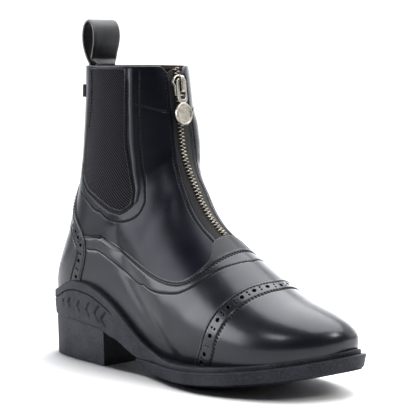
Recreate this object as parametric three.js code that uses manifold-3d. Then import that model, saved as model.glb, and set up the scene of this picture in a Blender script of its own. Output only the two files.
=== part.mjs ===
// Paddock boot for the right foot: millimetres, +X to the toe, +Y to the inner (medial) side, +Z up.
// The origin is the middle of the heel's foot, on the floor.
// One last function, a fan of sections from the toe to the collar, gives the upper, its overlays,
// the gores, the zip, the insole and the pocket of the moulded sole.
import * as THREE from 'three';
import { mergeVertices } from 'three/addons/utils/BufferGeometryUtils.js';
import Module from 'manifold-3d';

const wasm = await Module();
wasm.setup();

// sizes
const soleLength = 269;        // heel's rear to the toe's tip, along the floor
const ballWidth = 100;         // outsole's width at the ball
const heelLength = 73.6;       // the heel's foot, rear to breast
const collarHeight = 212;      // floor to the collar
const heelSeat = 32.5;         // floor to the footbed at the heel
const forefootBed = 11.5;      // floor to the footbed at the ball
const toeSpring = 17;          // rise of the toe
const gap = 0.3;               // clearance between neighbouring pieces

const wall = 2.0;              // leather and lining
const vampStep = 0.6;          // the vamp stands proud of the quarters
const overlay = 0.9;           // toe cap and counter leather
const insoleThickness = 3.5;
const counterTuck = 5;         // the counter's foot lies below the cup's rim
const collarBand = 2.4;        // rolled edge above the gores

const cupWall = 2.7;           // the moulded wall's face, outside the last
const cupHeight = 25.7;        // its rim above the heel seat
const heelFlare = 1.6;         // the cup stands proud of the heel block
const weltInset = 3.6;         // the welt stands back from the outsole's edge
const slabThickness = 8.7;     // forefoot outsole at its edge
const treadCrown = 2.4;        // the edge rises above the tread
const slabBevel = 1.6;         // the outsole's side leans in
const heelBlock = 29.2;        // heel block's height at the rear
const heelTaper = 0.8;         // the block narrows to the floor
const rimGroove = 1.2;         // groove under the cup's rim
const rimGrooveDrop = 5.2;
const rimGrooveDepth = 0.8;
const chevronLength = 7;       // largest mark on the cup's side
const chevronWidth = 1.5;
const chevronDepth = 0.8;

const throatWidth = 18;        // quarter edge to quarter edge
const tapeThickness = 0.9;
const tapeRecess = 1.0;        // the tape lies below the quarters' face
const tapeDrop = 1.5;          // and ends below the collar
const chainWidth = 5.4;
const chainRise = 1.9;         // teeth above the tape
const goreThickness = 1.2;
const goreRecess = 0.6;

const sliderLength = 14.5;
const sliderWidth = 12.5;
const sliderTail = 8.4;
const sliderThickness = 2.6;
const sliderDrop = 6.5;        // the slider's top below the collar
const bridgeLength = 11.5;
const bridgeWidth = 3;
const bridgeRise = 3.6;
const bridgeBar = 1.3;
const pullLength = 32.2;       // hinge bar to the disc's far edge
const pullWidth = 8.4;
const pullSlot = 4.6;
const pullPlay = 2.7;          // the slot runs on past the bridge's foot
const pullThickness = 1.5;
const pullNeck = 5.2;
const discDiameter = 15.5;
const discRim = 1.3;
const discRimRise = 0.45;

const loopWidth = 25;
const loopHeight = 33;         // above the collar
const loopDepth = 14;
const loopThickness = 2.2;
const loopTail = 10;           // stitched length inside the collar
const keeperThickness = 1.9;
const keeperHeight = 9;
const keeperDrop = 18;         // below the collar, to the keeper's middle

// lines along the length (u = share of soleLength from the heel's rear)
const heelRear = -heelLength / 2;
const X = (u) => heelRear + u * soleLength;
const U = (x) => (x - heelRear) / soleLength;
const clamp = (v, a, b) => Math.min(b, Math.max(a, v));

// value of a column at v, with smooth slopes between the rows
function along(table, v, column) {
  const n = table.length;
  if (v <= table[0][0]) return table[0][column];
  if (v >= table[n - 1][0]) return table[n - 1][column];
  let i = 0;
  while (v > table[i + 1][0]) i++;
  const slope = (k) => {
    const a = Math.max(0, k - 1), b = Math.min(n - 1, k + 1);
    return (table[b][column] - table[a][column]) / (table[b][0] - table[a][0]);
  };
  const h = table[i + 1][0] - table[i][0];
  const t = (v - table[i][0]) / h;
  const t2 = t * t, t3 = t2 * t;
  return (2 * t3 - 3 * t2 + 1) * table[i][column] + (t3 - 2 * t2 + t) * h * slope(i)
    + (3 * t2 - 2 * t3) * table[i + 1][column] + (t3 - t2) * h * slope(i + 1);
}


const arch = (u) => { const t = clamp((u - 0.16) / 0.4, 0, 1); return 1 - t * t * (3 - 2 * t); };
const spring = (u) => toeSpring * Math.max(0, (u - 0.478) / 0.519) ** 2;
const bed = (u) => forefootBed + (heelSeat - forefootBed) * arch(u) + spring(u);

// rim of the moulded cup, as a share of cupHeight above the bed
const RIM = [
  // u, share
  [0.000, 0.49], [0.030, 0.58], [0.072, 0.72], [0.107, 0.88], [0.148, 0.98], [0.182, 1.00], [0.228, 0.99],
  [0.267, 0.92], [0.316, 0.80], [0.365, 0.59], [0.408, 0.36], [0.450, 0.19], [0.496, 0.12], [0.540, 0.105],
  [1.000, 0.105],
];
const rim = (u) => bed(u) + cupHeight * along(RIM, u, 1);

// top of the outsole slab, and the moulded unit's lower edge: a share from there up to the heel block's top
const slabTop = (u) => treadCrown + slabThickness + spring(u);
const LOWER = [
  // u, share
  [0.000, 1.00], [0.120, 1.00], [0.180, 0.97], [0.220, 0.91], [0.260, 0.855], [0.279, 0.80], [0.298, 0.68],
  [0.338, 0.53], [0.376, 0.26], [0.410, 0.03], [0.430, 0.00], [1.000, 0.00],
];
const lower = (u) => slabTop(u) + (heelBlock - treadCrown - slabThickness) * along(LOWER, u, 1);

// outsole slab's under edge, as a share of its thickness below the top, and how much of the crown it has
const SLAB = [
  // u, thickness share, crown share
  [0.408, 0.06, 0.00], [0.413, 0.30, 0.10], [0.424, 0.58, 0.35], [0.445, 0.82, 0.70], [0.480, 0.95, 0.95],
  [0.510, 1.00, 1.00], [1.000, 1.00, 1.00],
];
const slabEdge = (u) => slabTop(u) - slabThickness * along(SLAB, u, 1);
const treadMiddle = (u) => {
  const flat = slabEdge(u) - treadCrown * along(SLAB, u, 2);
  if (u < 0.5) return Math.max(0, flat);
  const rise = (toeSpring + 0.65 * treadCrown) * Math.max(0, (u - 0.6) / 0.4) ** 1.5;
  return Math.min(slabEdge(u) - 0.4 * treadCrown, rise);
};

// sole plan, shares of ballWidth either side of the centre line
const PLAN = [
  // u, lateral, medial
  [0.000, 0.000, 0.000], [0.006, 0.125, 0.125], [0.030, 0.210, 0.210], [0.070, 0.262, 0.262],
  [0.120, 0.290, 0.295], [0.200, 0.320, 0.302], [0.280, 0.337, 0.280], [0.360, 0.347, 0.262],
  [0.440, 0.370, 0.280], [0.520, 0.430, 0.340], [0.600, 0.492, 0.425], [0.670, 0.512, 0.475],
  [0.740, 0.495, 0.490], [0.810, 0.440, 0.472], [0.870, 0.365, 0.440], [0.920, 0.275, 0.390],
  [0.960, 0.155, 0.320], [0.988, 0.005, 0.235], [1.000, -0.115, 0.115],
];
function uniform(rows, first, last, s) {
  const n = rows.length;
  const at = (k) => (k < 0 ? first : k > n - 1 ? last : rows[k]);
  const i = clamp(Math.floor(s), 0, n - 2);
  const t = s - i;
  const [a, b, c, d] = [at(i - 1), at(i), at(i + 1), at(i + 2)];
  return b.map((_, k) => 0.5 * (2 * b[k] + (c[k] - a[k]) * t + (2 * a[k] - 5 * b[k] + 4 * c[k] - d[k]) * t * t
    + (3 * b[k] - a[k] - 3 * c[k] + d[k]) * t * t * t));
}
const planEnd = (row) => [row[0], -row[2], -row[1]];
const planRow = (k) => uniform(PLAN, planEnd(PLAN[1]), planEnd(PLAN[PLAN.length - 2]), k);
const planStation = (u) => {
  let a = 0, b = PLAN.length - 1;
  for (let i = 0; i < 40; i++) {
    const m = (a + b) / 2;
    if (planRow(m)[0] < u) a = m; else b = m;
  }
  return (a + b) / 2;
};
// edge point of the plan on one side (-1 lateral, +1 medial), moved outward by grow
function planPoint(k, side, grow) {
  const last = PLAN.length - 1;
  const p = (v) => {
    const f = v < 0 ? -v : v > last ? 2 * last - v : v;
    const r = planRow(f);
    const flip = v < 0 || v > last ? -side : side;
    return [X(r[0]), flip * ballWidth * (flip < 0 ? r[1] : r[2])];
  };
  const a = p(k - 0.02), b = p(k + 0.02), c = p(k);
  const tx = b[0] - a[0], ty = b[1] - a[1], l = Math.hypot(tx, ty) || 1;
  return [c[0] - side * grow * ty / l, c[1] + side * grow * tx / l];
}

// the last
// Sections fan from the toe (first row) to the collar (last row). Front is the top or front point, back the
// under or back point: u along the length, w the share of the way from the bed to the collar's height.
// lateral, medial and centre are shares of half the ball width; widest is the share of the way from front to
// back; the powers round the front on each side and the back.
const LAST = [
  // front u, w, back u, w, lateral, medial, centre, widest, lateral power, medial power, back power
  [0.975, 0.055, 0.975, 0.055, 0.00, 0.00, 0.190, 0.50, 2.0, 2.0, 2.0],
  [0.969, 0.085, 0.971, 0.020, 0.19, 0.18, 0.186, 0.50, 2.0, 2.0, 2.1],
  [0.951, 0.116, 0.954, -0.008, 0.37, 0.33, 0.176, 0.55, 2.0, 1.95, 2.6],
  [0.921, 0.146, 0.924, -0.022, 0.55, 0.47, 0.160, 0.58, 2.0, 1.9, 3.0],
  [0.882, 0.176, 0.884, -0.030, 0.70, 0.59, 0.140, 0.60, 2.0, 1.85, 3.4],
  [0.832, 0.211, 0.834, -0.033, 0.81, 0.69, 0.112, 0.62, 2.0, 1.8, 3.6],
  [0.776, 0.257, 0.776, -0.033, 0.87, 0.765, 0.084, 0.64, 2.0, 1.8, 3.6],
  [0.717, 0.313, 0.709, -0.030, 0.89, 0.81, 0.056, 0.65, 1.95, 1.8, 3.6],
  [0.661, 0.367, 0.635, -0.026, 0.87, 0.81, 0.032, 0.64, 1.9, 1.85, 3.5],
  [0.609, 0.419, 0.553, -0.024, 0.825, 0.755, 0.016, 0.60, 1.9, 1.9, 3.3],
  [0.561, 0.470, 0.464, -0.028, 0.77, 0.69, 0.006, 0.56, 1.9, 1.9, 3.1],
  [0.522, 0.527, 0.356, -0.035, 0.71, 0.66, 0, 0.52, 1.9, 2.0, 3.0],
  [0.494, 0.583, 0.233, -0.040, 0.67, 0.655, 0, 0.48, 1.95, 2.2, 3.0],
  [0.476, 0.624, 0.114, -0.036, 0.645, 0.655, 0, 0.46, 2.0, 2.35, 2.9],
  [0.465, 0.651, 0.027, 0.000, 0.63, 0.66, 0, 0.46, 2.05, 2.5, 2.8],
  [0.457, 0.673, 0.003, 0.090, 0.62, 0.665, 0, 0.46, 2.1, 2.6, 2.6],
  [0.451, 0.695, 0.014, 0.187, 0.61, 0.685, 0, 0.46, 2.1, 2.8, 2.3],
  [0.446, 0.720, 0.038, 0.287, 0.605, 0.69, 0, 0.46, 2.1, 2.9, 2.1],
  [0.443, 0.745, 0.061, 0.393, 0.605, 0.69, 0, 0.46, 2.1, 2.9, 2.1],
  [0.440, 0.775, 0.083, 0.504, 0.61, 0.69, 0, 0.47, 2.1, 2.8, 2.1],
  [0.4375, 0.811, 0.101, 0.621, 0.625, 0.69, 0, 0.48, 2.1, 2.6, 2.1],
  [0.435, 0.854, 0.114, 0.738, 0.645, 0.665, 0, 0.49, 2.1, 2.25, 2.1],
  [0.4315, 0.908, 0.124, 0.855, 0.655, 0.66, 0, 0.50, 2.1, 2.1, 2.1],
  [0.427, 0.959, 0.127, 0.944, 0.66, 0.655, 0, 0.50, 2.1, 2.05, 2.1],
  [0.422, 1.000, 0.129, 1.000, 0.66, 0.65, 0, 0.50, 2.1, 2.0, 2.1],
];
const TOP = LAST.length - 1;
const toeTwin = LAST[1].map((v, k) => {
  if (k === 1 || k === 3) return LAST[1][4 - k];
  return k === 4 || k === 5 ? -v : v;
});
const collarTwin = LAST[TOP].map((v, k) => 2 * v - LAST[TOP - 1][k]);
const lastRow = (s) => {
  if (s <= TOP) return uniform(LAST, toeTwin, collarTwin, Math.max(0, s));
  const a = uniform(LAST, toeTwin, collarTwin, TOP), b = uniform(LAST, toeTwin, collarTwin, TOP - 0.25);
  return a.map((v, k) => (k < 4 ? v + (v - b[k]) * (s - TOP) * 4 : v));
};

// point at station s and turn t: 0 at the front or top, -1 round the outer side to the back, +1 by the inner
function form(s, t) {
  const [u1, w1, u2, w2, lat, med, cen, wide, pl, pm, pb] = lastRow(s);
  const turn = t > 1 ? t - 2 : t < -1 ? t + 2 : t;
  const z1 = bed(u1) + w1 * (collarHeight - bed(u1)), z2 = bed(u2) + w2 * (collarHeight - bed(u2));
  const a = Math.abs(turn) * Math.PI, c = Math.abs(Math.cos(a)), n = Math.abs(Math.sin(a));
  const p = a > Math.PI / 2 ? pb : turn < 0 ? pl : pm;
  const q = a > Math.PI / 2 ? wide + (1 - wide) * c ** (2 / p) : wide * (1 - c ** (2 / p));
  const y = (cen + (turn < 0 ? -lat : med) * n ** (2 / p)) * ballWidth / 2;
  return new THREE.Vector3(X(u1) + (X(u2) - X(u1)) * q, y, z1 + (z2 - z1) * q);
}
function skin(s, t, off) {
  const p = form(s, t);
  if (off === 0) return p;
  if (s < 0.02) return p.add(new THREE.Vector3(off, 0, 0));
  const e = 1e-3;
  const dt = form(s, t + e).sub(form(s, t - e));
  const ds = form(s + e, t).sub(form(Math.max(0.01, s - e), t));
  return p.addScaledVector(dt.cross(ds).normalize(), off);
}
// millimetres per unit of s and of t, for clearances measured along the surface
const perS = (s, t) => {
  const low = Math.max(0, s - 0.05), high = s + 0.05;
  return form(high, t).distanceTo(form(low, t)) / (high - low);
};
const perT = (s, t) => form(s, t + 0.01).distanceTo(form(s, t - 0.01)) / 0.02;

// solids
function solidFrom(points, faces) {
  const g = new THREE.BufferGeometry();
  g.setAttribute('position', new THREE.Float32BufferAttribute(points.flatMap((p) => [p.x, p.y, p.z]), 3));
  g.setIndex(faces.flat());
  return toSolid(g);
}
function toSolid(geometry) {
  const g = geometry.clone();
  g.deleteAttribute('normal');
  g.deleteAttribute('uv');
  const m = mergeVertices(g, 1e-4);
  const index = m.index.array, keep = [];
  for (let i = 0; i < index.length; i += 3) {
    const [a, b, c] = [index[i], index[i + 1], index[i + 2]];
    if (a !== b && b !== c && c !== a) keep.push(a, b, c);
  }
  return new wasm.Manifold(new wasm.Mesh({
    numProp: 3,
    vertProperties: new Float32Array(m.attributes.position.array),
    triVerts: new Uint32Array(keep),
  }));
}
// closed solid between an outer and an inner grid of points; wrap joins the last column to the first
function between(outer, inner, wrap) {
  const m = outer.length, n = outer[0].length, points = [], faces = [];
  for (const g of [outer, inner]) for (const row of g) points.push(...row);
  const id = (g, i, j) => g * m * n + i * n + (j % n);
  const quad = (a, b, c, d) => faces.push([a, b, c], [a, c, d]);
  const cols = wrap ? n : n - 1;
  for (let i = 0; i < m - 1; i++) {
    for (let j = 0; j < cols; j++) {
      quad(id(0, i, j), id(0, i, j + 1), id(0, i + 1, j + 1), id(0, i + 1, j));
      quad(id(1, i, j), id(1, i + 1, j), id(1, i + 1, j + 1), id(1, i, j + 1));
    }
    if (!wrap) {
      quad(id(0, i, 0), id(0, i + 1, 0), id(1, i + 1, 0), id(1, i, 0));
      quad(id(0, i + 1, n - 1), id(0, i, n - 1), id(1, i, n - 1), id(1, i + 1, n - 1));
    }
  }
  const pole = (g) => outer[0].every((p) => p.distanceTo(outer[0][0]) < 1e-6) && g === 0;
  for (let j = 0; j < cols; j++) {
    quad(id(0, m - 1, j), id(0, m - 1, j + 1), id(1, m - 1, j + 1), id(1, m - 1, j));
    if (!pole(0)) quad(id(0, 0, j + 1), id(0, 0, j), id(1, 0, j), id(1, 0, j + 1));
  }
  return solidFrom(points, faces);
}
// solid through rings of points that run counter-clockwise seen from the front (+X), rear ring first
function loft(rings) {
  const n = rings[0].length, points = rings.flat(), faces = [];
  for (let k = 0; k < rings.length - 1; k++) {
    for (let j = 0; j < n; j++) {
      const a = k * n + j, b = k * n + (j + 1) % n;
      faces.push([a, b, b + n], [a, b + n, a + n]);
    }
  }
  const cap = (k, back) => {
    const flat = rings[k].map((p) => new THREE.Vector2(p.y, p.z));
    const area = Math.abs(THREE.ShapeUtils.area(flat));
    if (area < 1e-3) return;
    for (const [a, b, c] of THREE.ShapeUtils.triangulateShape(flat, [])) {
      const f = [k * n + a, k * n + b, k * n + c];
      faces.push(back ? f.reverse() : f);
    }
  };
  cap(0, true);
  cap(rings.length - 1, false);
  return solidFrom(points, faces);
}
const box = (sx, sy, sz, x, y, z) => toSolid(new THREE.BoxGeometry(sx, sy, sz).translate(x, y, z));

// stations and turns shared by every piece that lies on the last, so their facets run side by side
const STATIONS = [0, 0.55, 1.2, 2, 3, 4, 5, 6, 7, 8, 9, 10, 11, 12, 13, 14, 15, 16, 17.3, 19, 20.5, 22.2, 24];
const TURNS = 24;
const turnAt = (j) => -1 + 2 * j / TURNS;
function skinGrid(stations, off) {
  return stations.map((s) => Array.from({ length: TURNS }, (_, j) => skin(s, turnAt(j), off)));
}
const stationsTo = (from, to) => STATIONS.filter((s) => s >= from && s <= to);
const shell = (from, to, inner, outer) => {
  const rows = stationsTo(from, to);
  return between(skinGrid(rows, outer), skinGrid(rows, inner), true);
};
// everything inside the last, moved outward by off
function filled(off, stations = [...STATIONS, TOP + 0.4]) {
  const grid = skinGrid(stations, off), points = grid.flat(), faces = [], n = TURNS, m = grid.length;
  const id = (i, j) => i * n + (j % n);
  for (let i = 0; i < m - 1; i++) for (let j = 0; j < n; j++) {
    faces.push([id(i, j), id(i, j + 1), id(i + 1, j + 1)], [id(i, j), id(i + 1, j + 1), id(i + 1, j)]);
  }
  const middle = new THREE.Vector3();
  grid[m - 1].forEach((p) => middle.add(p));
  points.push(middle.divideScalar(n));
  for (let j = 0; j < n; j++) faces.push([id(m - 1, j), id(m - 1, j + 1), points.length - 1]);
  return solidFrom(points, faces);
}
// toe-side cutter: every turn from the toe to the line s = end(|t|)
function toeRegion(end, inner, outer, extra = 0) {
  const n = 1.5 * TURNS, steps = 14;
  const row = (off, i) => Array.from({ length: n }, (_, j) => {
    const t = -1 + 2 * j / n, s1 = end(Math.abs(t));
    return skin((s1 + extra / perS(s1, t)) * i / steps, t, off);
  });
  const grid = (off) => Array.from({ length: steps + 1 }, (_, i) => row(off, i));
  return between(grid(outer), grid(inner), true);
}
// side cutter: rows of [s, t from, t to], grown by extra all round
function sideRegion(rows, inner, outer, extra = 0, columns = 8) {
  const last = rows.length - 1;
  const grid = (off) => rows.map(([s, a, b], i) => {
    const middle = (a + b) / 2;
    const s1 = s + (i === 0 ? -extra : i === last ? extra : 0) / perS(s, middle);
    const a1 = a - extra / perT(s, a), b1 = b + extra / perT(s, b);
    return Array.from({ length: columns + 1 }, (_, j) => skin(s1, a1 + (b1 - a1) * j / columns, off));
  });
  return between(grid(outer), grid(inner), false);
}
const mirrored = (rows) => rows.map(([s, a, b]) => [s, -b, -a]);
// everything above or below a line z(u)
const beyondSide = 160, beyondTop = 330, beyondFloor = -60;
const reach = Array.from({ length: 57 }, (_, i) => -0.2 + i * 1.45 / 56);
const slice = (low, high) => loft(reach.map((u) => [
  [-beyondSide, low(u)], [beyondSide, low(u)], [beyondSide, high(u)], [-beyondSide, high(u)],
].map(([y, z]) => new THREE.Vector3(X(u), y, z))));
const above = (z) => slice(z, () => beyondTop);
const below = (z) => slice(() => beyondFloor, z);
// where the last passes above the plan: its half width at height z, on one side
const sideGrid = {};
function lastSide(u, z, side) {
  sideGrid[side] ??= Array.from({ length: 34 }, (_, i) => 1.5 + i * 0.5).flatMap((s) => (
    Array.from({ length: 14 }, (_, j) => {
      const t = side * (0.32 + 0.05 * j);
      return [s, t, form(s, t)];
    })
  ));
  const x = X(u);
  let best = null, least = Infinity;
  for (const [s, t, p] of sideGrid[side]) {
    const d = (p.x - x) ** 2 + (p.z - z) ** 2;
    if (d < least) { least = d; best = [s, t]; }
  }
  let [s, t] = best;
  for (let i = 0; i < 12; i++) {
    const p = form(s, t), ps = form(s + 1e-3, t), pt = form(s, t + 1e-3 * side);
    const a = (ps.x - p.x) / 1e-3, b = (pt.x - p.x) / (1e-3 * side);
    const c = (ps.z - p.z) / 1e-3, d = (pt.z - p.z) / (1e-3 * side);
    const det = a * d - b * c;
    if (Math.abs(det) < 1e-6) break;
    s = clamp(s - (d * (p.x - x) - b * (p.z - z)) / det * 0.9, 0.3, 18);
    t = side * clamp(side * (t - (a * (p.z - z) - c * (p.x - x)) / det * 0.9), 0.25, 0.98);
  }
  return side * form(s, t).y;
}
// rings along the sole: side(u, sign) lists [grow, z, share of half width, least half width] from the foot up
function planLoft(stations, side, flatEnd) {
  return loft(stations.map((k, i) => {
    const u = planRow(k)[0], end = flatEnd && i === stations.length - 1;
    const c = (planPoint(k, -1, 0)[1] + planPoint(k, 1, 0)[1]) / 2;
    const at = (sd) => side(u, sd).map(([grow, z, share = 1, least = 0]) => {
      const [x, y] = planPoint(k, sd, end ? 0 : grow);
      const across = end ? y + sd * grow : c + (y - c) * share;
      return new THREE.Vector3(end ? X(u) : x, least > 0 ? sd * Math.max(least, sd * across) : across, z);
    });
    return [...at(-1).reverse(), ...at(1)];
  }));
}
const planStations = (from, to, n) => Array.from({ length: n + 1 }, (_, i) => {
  const a = planStation(from), b = planStation(to);
  return a + (b - a) * i / n;
});

// lines on the upper: station s against the turn |t|
const VAMP = [
  // |t|, s
  [0.00, 8.80], [0.08, 8.78], [0.11, 8.74], [0.135, 8.60], [0.17, 8.50], [0.24, 8.66], [0.30, 8.95],
  [0.35, 9.38], [0.385, 9.92], [0.415, 10.50], [0.448, 11.28], [0.475, 12.05], [0.49, 12.85], [0.497, 13.70],
  [0.515, 14.50], [0.555, 15.20], [0.65, 16.30], [0.80, 17.00], [1.00, 17.30],
];
const CAP = [
  [0.00, 6.33], [0.08, 6.42], [0.15, 6.57], [0.23, 6.76], [0.31, 7.04], [0.40, 7.32], [0.49, 7.55],
  [0.57, 7.76], [0.74, 8.08], [1.00, 8.30],
];
// counter: its front edge |t| for each station; it runs round the back, its foot tucked under the cup's rim
const COUNTER = [
  // s, |t|
  [12.90, 0.760], [13.15, 0.690], [13.50, 0.625], [13.80, 0.575], [14.20, 0.548], [14.80, 0.546],
  [15.30, 0.560], [15.80, 0.585], [16.30, 0.620], [16.80, 0.665], [17.30, 0.715], [17.90, 0.770],
  [18.50, 0.820], [19.00, 0.865], [19.40, 0.920],
];
// gore: for each station, its back and front edge on the outer side
const GORE = [
  // s, back t, front t
  [14.13, -0.366, -0.348], [14.30, -0.390, -0.338], [14.60, -0.408, -0.331], [14.95, -0.426, -0.329],
  [15.90, -0.470, -0.337], [17.15, -0.535, -0.352], [18.15, -0.611, -0.367], [18.77, -0.662, -0.375],
  [19.35, -0.700, -0.380], [20.00, -0.708, -0.379], [20.90, -0.690, -0.372], [21.80, -0.666, -0.366],
  [22.80, -0.638, -0.358], [24.00, -0.610, -0.350],
];
// throat: half its width as a share of throatWidth, from the vamp to the collar
const THROAT = [
  // s, share
  [8.95, 0.490], [9.60, 0.478], [10.20, 0.478], [11.00, 0.517], [11.80, 0.556], [12.80, 0.556],
  [13.80, 0.540], [14.40, 0.532], [15.00, 0.528], [15.80, 0.535], [16.60, 0.541], [17.40, 0.544],
  [18.70, 0.530], [20.00, 0.500], [21.00, 0.440], [22.00, 0.400], [22.90, 0.389], [23.40, 0.440],
  [23.75, 0.530], [24.00, 0.680],
];
const goreTop = (() => {
  let s = TOP;
  while (form(s, -0.48).z > collarHeight - collarBand) s -= 0.01;
  return s;
})();
const goreRows = GORE.map((r, i) => (i === GORE.length - 1 ? [goreTop, r[1], r[2]] : r));
const throatRows = (shrink, from = THROAT[0][0], to = TOP, beyond = 0) => {
  const rows = THROAT.filter(([s]) => s > from + 0.05 && s < to - 0.05).map(([s]) => s);
  return [from, ...rows, to + beyond].map((s) => {
    const share = along(THROAT, s, 1), narrowest = along(THROAT, Math.min(s, 22.9), 1);
    const half = (shrink > 0 ? Math.min(share, narrowest) : share) * throatWidth - shrink;
    const t = half / perT(Math.min(s, TOP), 0.02);
    return [s, -t, t];
  });
};

// upper
const vampEdge = (t) => along(VAMP, t, 1), capEdge = (t) => along(CAP, t, 1);
const counterRows = COUNTER.map(([at, t]) => [at, t, 2 - t]);
const counterRegion = (inner, outer, extra = 0) => (
  sideRegion(counterRows, inner, outer, extra, 12).intersect(above((u) => rim(u) - counterTuck - extra))
);
const onFloor = above((u) => bed(u) + gap);

// cutters reach this far below and above the last's face
const cutIn = -5, cutOut = 6, clearOut = 4;
const vamp = shell(0, 19, -wall / 2, vampStep).intersect(toeRegion(vampEdge, cutIn, clearOut));
const capRecess = shell(0, 10, -gap, clearOut).intersect(toeRegion(capEdge, cutIn, cutOut, gap));
const counterRecess = shell(12, 21, -gap, clearOut).intersect(counterRegion(cutIn, cutOut, gap));
const throatCut = sideRegion(throatRows(0, THROAT[0][0], TOP, 0.6), cutIn, clearOut, 0, 4);
const goreCut = sideRegion(goreRows, cutIn, clearOut, 0, 5);
const goreCutInner = sideRegion(mirrored(goreRows), cutIn, clearOut, 0, 5);
const upper = shell(0, TOP, -wall, 0).add(vamp).subtract(capRecess).subtract(counterRecess)
  .subtract(throatCut).subtract(goreCut).subtract(goreCutInner).intersect(onFloor);

const toeCap = shell(0, 10, 0, overlay).intersect(toeRegion(capEdge, cutIn, cutOut)).intersect(onFloor);
const counter = shell(12, 21, 0, overlay).intersect(counterRegion(cutIn, cutOut)).intersect(onFloor);
const goreSheet = shell(13, TOP, -goreRecess - goreThickness, -goreRecess);
const gore = (rows) => goreSheet.intersect(sideRegion(rows, cutIn, clearOut, -gap, 5));

// sole
const insole = filled(-wall - gap, stationsTo(0, 18)).intersect(onFloor)
  .intersect(below((u) => bed(u) + gap + insoleThickness));
const pocket = filled(overlay + gap).intersect(above(bed));
const CUP = [
  // u, outward of the plan, as a share of heelFlare (rear) and of weltInset (front)
  [0.00, 1, 0], [0.20, 1, 0], [0.28, 0.5, 0], [0.36, 0, 0.2], [0.44, 0, 0.6], [0.52, 0, 1], [1.00, 0, 1],
];
const cupGrow = (u) => along(CUP, u, 1) * heelFlare - along(CUP, u, 2) * weltInset;
const soleStations = planStations(0, 1, 30);
// the wall hugs the upper between the heel's round back and the ball
const cupHug = (u) => clamp((u - 0.06) / 0.06, 0, 1) * clamp((0.5 - u) / 0.05, 0, 1);
const lowestHug = 4;           // below this height over the bed the wall goes straight down
const cupLevel = (u, sd, share, out = 0) => {
  const z = lower(u) + gap + (rim(u) - lower(u) - gap) * share;
  const wallHeight = Math.max(z, bed(u) + lowestHug);
  const least = cupHug(u) > 0 ? cupHug(u) * (lastSide(u, wallHeight, sd) + cupWall + out) : 0;
  return [cupGrow(u) - 0.5 * heelFlare * along(CUP, u, 1) * (1 - share) + out, z, 1, least];
};
const cupBlock = planLoft(soleStations, (u, sd) => [0, 0.55, 1].map((share) => cupLevel(u, sd, share)));
// groove that runs under the rim, and the marks on the cup's side that grow to the front
const grooveEnd = 0.31;
const grooveBand = (out) => planLoft(planStations(0, grooveEnd, 11), (u, sd) => {
  const level = cupLevel(u, sd, 1, out);
  return [rimGrooveDrop + rimGroove, rimGrooveDrop].map((drop) => [level[0], rim(u) - drop, 1, level[3]]);
});
const groove = grooveBand(4).subtract(grooveBand(-rimGrooveDepth));
const CHEVRONS = [
  // u, height and length as a share of the room between the groove and the heel block, place up that room
  [0.097, 0.22, 0.60], [0.133, 0.24, 0.58], [0.178, 0.29, 0.51], [0.219, 0.37, 0.50], [0.258, 0.52, 0.52],
  [0.285, 0.50, 0.48],
];
const chevrons = CHEVRONS.flatMap(([u, share, up]) => [-1, 1].map((sd) => {
  const room = rim(u) - rimGrooveDrop - rimGroove - lower(u), h = room * share;
  const w = chevronWidth * (0.6 + 0.6 * share), l = chevronLength * share * 1.3, z = lower(u) + up * room;
  const outline = [[0, 0], [l, h / 2], [l + w, h / 2], [w * 1.2, 0], [l + w, -h / 2], [l, -h / 2]];
  const shape = new THREE.Shape(outline.map(([a, b]) => new THREE.Vector2(a - l / 2, b)));
  const cut = new THREE.ExtrudeGeometry(shape, { depth: 6, bevelEnabled: false }).rotateX(Math.PI / 2);
  const wallAt = (v) => {
    const level = cupLevel(v, sd, up * 0.8), [x, y] = planPoint(planStation(v), sd, level[0]);
    return [x, Math.max(level[3], sd * y)];
  };
  const [x0, y0] = wallAt(u - 0.012), [x1, y1] = wallAt(u + 0.012), [x, y] = wallAt(u);
  cut.translate(0, sd < 0 ? chevronDepth : 6 - chevronDepth, 0);
  cut.rotateZ(sd * Math.atan2(y1 - y0, x1 - x0)).translate(x, sd * y, z);
  return toSolid(cut);
}));
const grooved = cupBlock.subtract(groove);
const soleUnit = chevrons.reduce((solid, cut) => solid.subtract(cut), grooved).subtract(pocket);

const heelStations = planStations(0, heelLength / soleLength, 16);
const heelBlockSolid = planLoft(heelStations, (u) => [[-heelTaper, 0], [0, lower(u)]], true);
const slab = planLoft(planStations(SLAB[0][0], 1, 40), (u) => [
  [-slabBevel, treadMiddle(u), 0.82], [-slabBevel, slabEdge(u)], [0, slabTop(u)],
]);

// zip
// station where the last reaches height z at turn t
function stationAt(z, t, low, high) {
  let a = low, b = high;
  for (let i = 0; i < 40; i++) {
    const m = (a + b) / 2;
    if (form(m, t).z < z) a = m; else b = m;
  }
  return (a + b) / 2;
}
const frontAt = (z) => stationAt(z, 0, 8, TOP);
const sliderTop = collarHeight - sliderDrop, sliderFoot = sliderTop - sliderLength;
const tapeFace = -tapeRecess, tapeBack = -tapeRecess - tapeThickness;
const zipEnd = THROAT[0][0];
const tapeHalf = (side) => {
  const rows = throatRows(gap, zipEnd + 0.08, frontAt(collarHeight - tapeDrop)).map(([s, a, b]) => {
    const mid = 0.5 * gap / perT(s, 0.02);
    return side < 0 ? [s, a, -mid] : [s, mid, b];
  });
  return sideRegion(rows, tapeBack, tapeFace, 0, 1);
};
const chainRows = (() => {
  const from = zipEnd + 0.12, to = frontAt(sliderFoot - gap), n = 12;
  return Array.from({ length: n + 1 }, (_, i) => {
    const s = from + (to - from) * i / n, t = chainWidth / 2 / perT(s, 0.01);
    return [s, -t, t];
  });
})();
const chain = sideRegion(chainRows, tapeFace + 1.6 * gap, tapeFace + chainRise, 0, 2);

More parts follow.
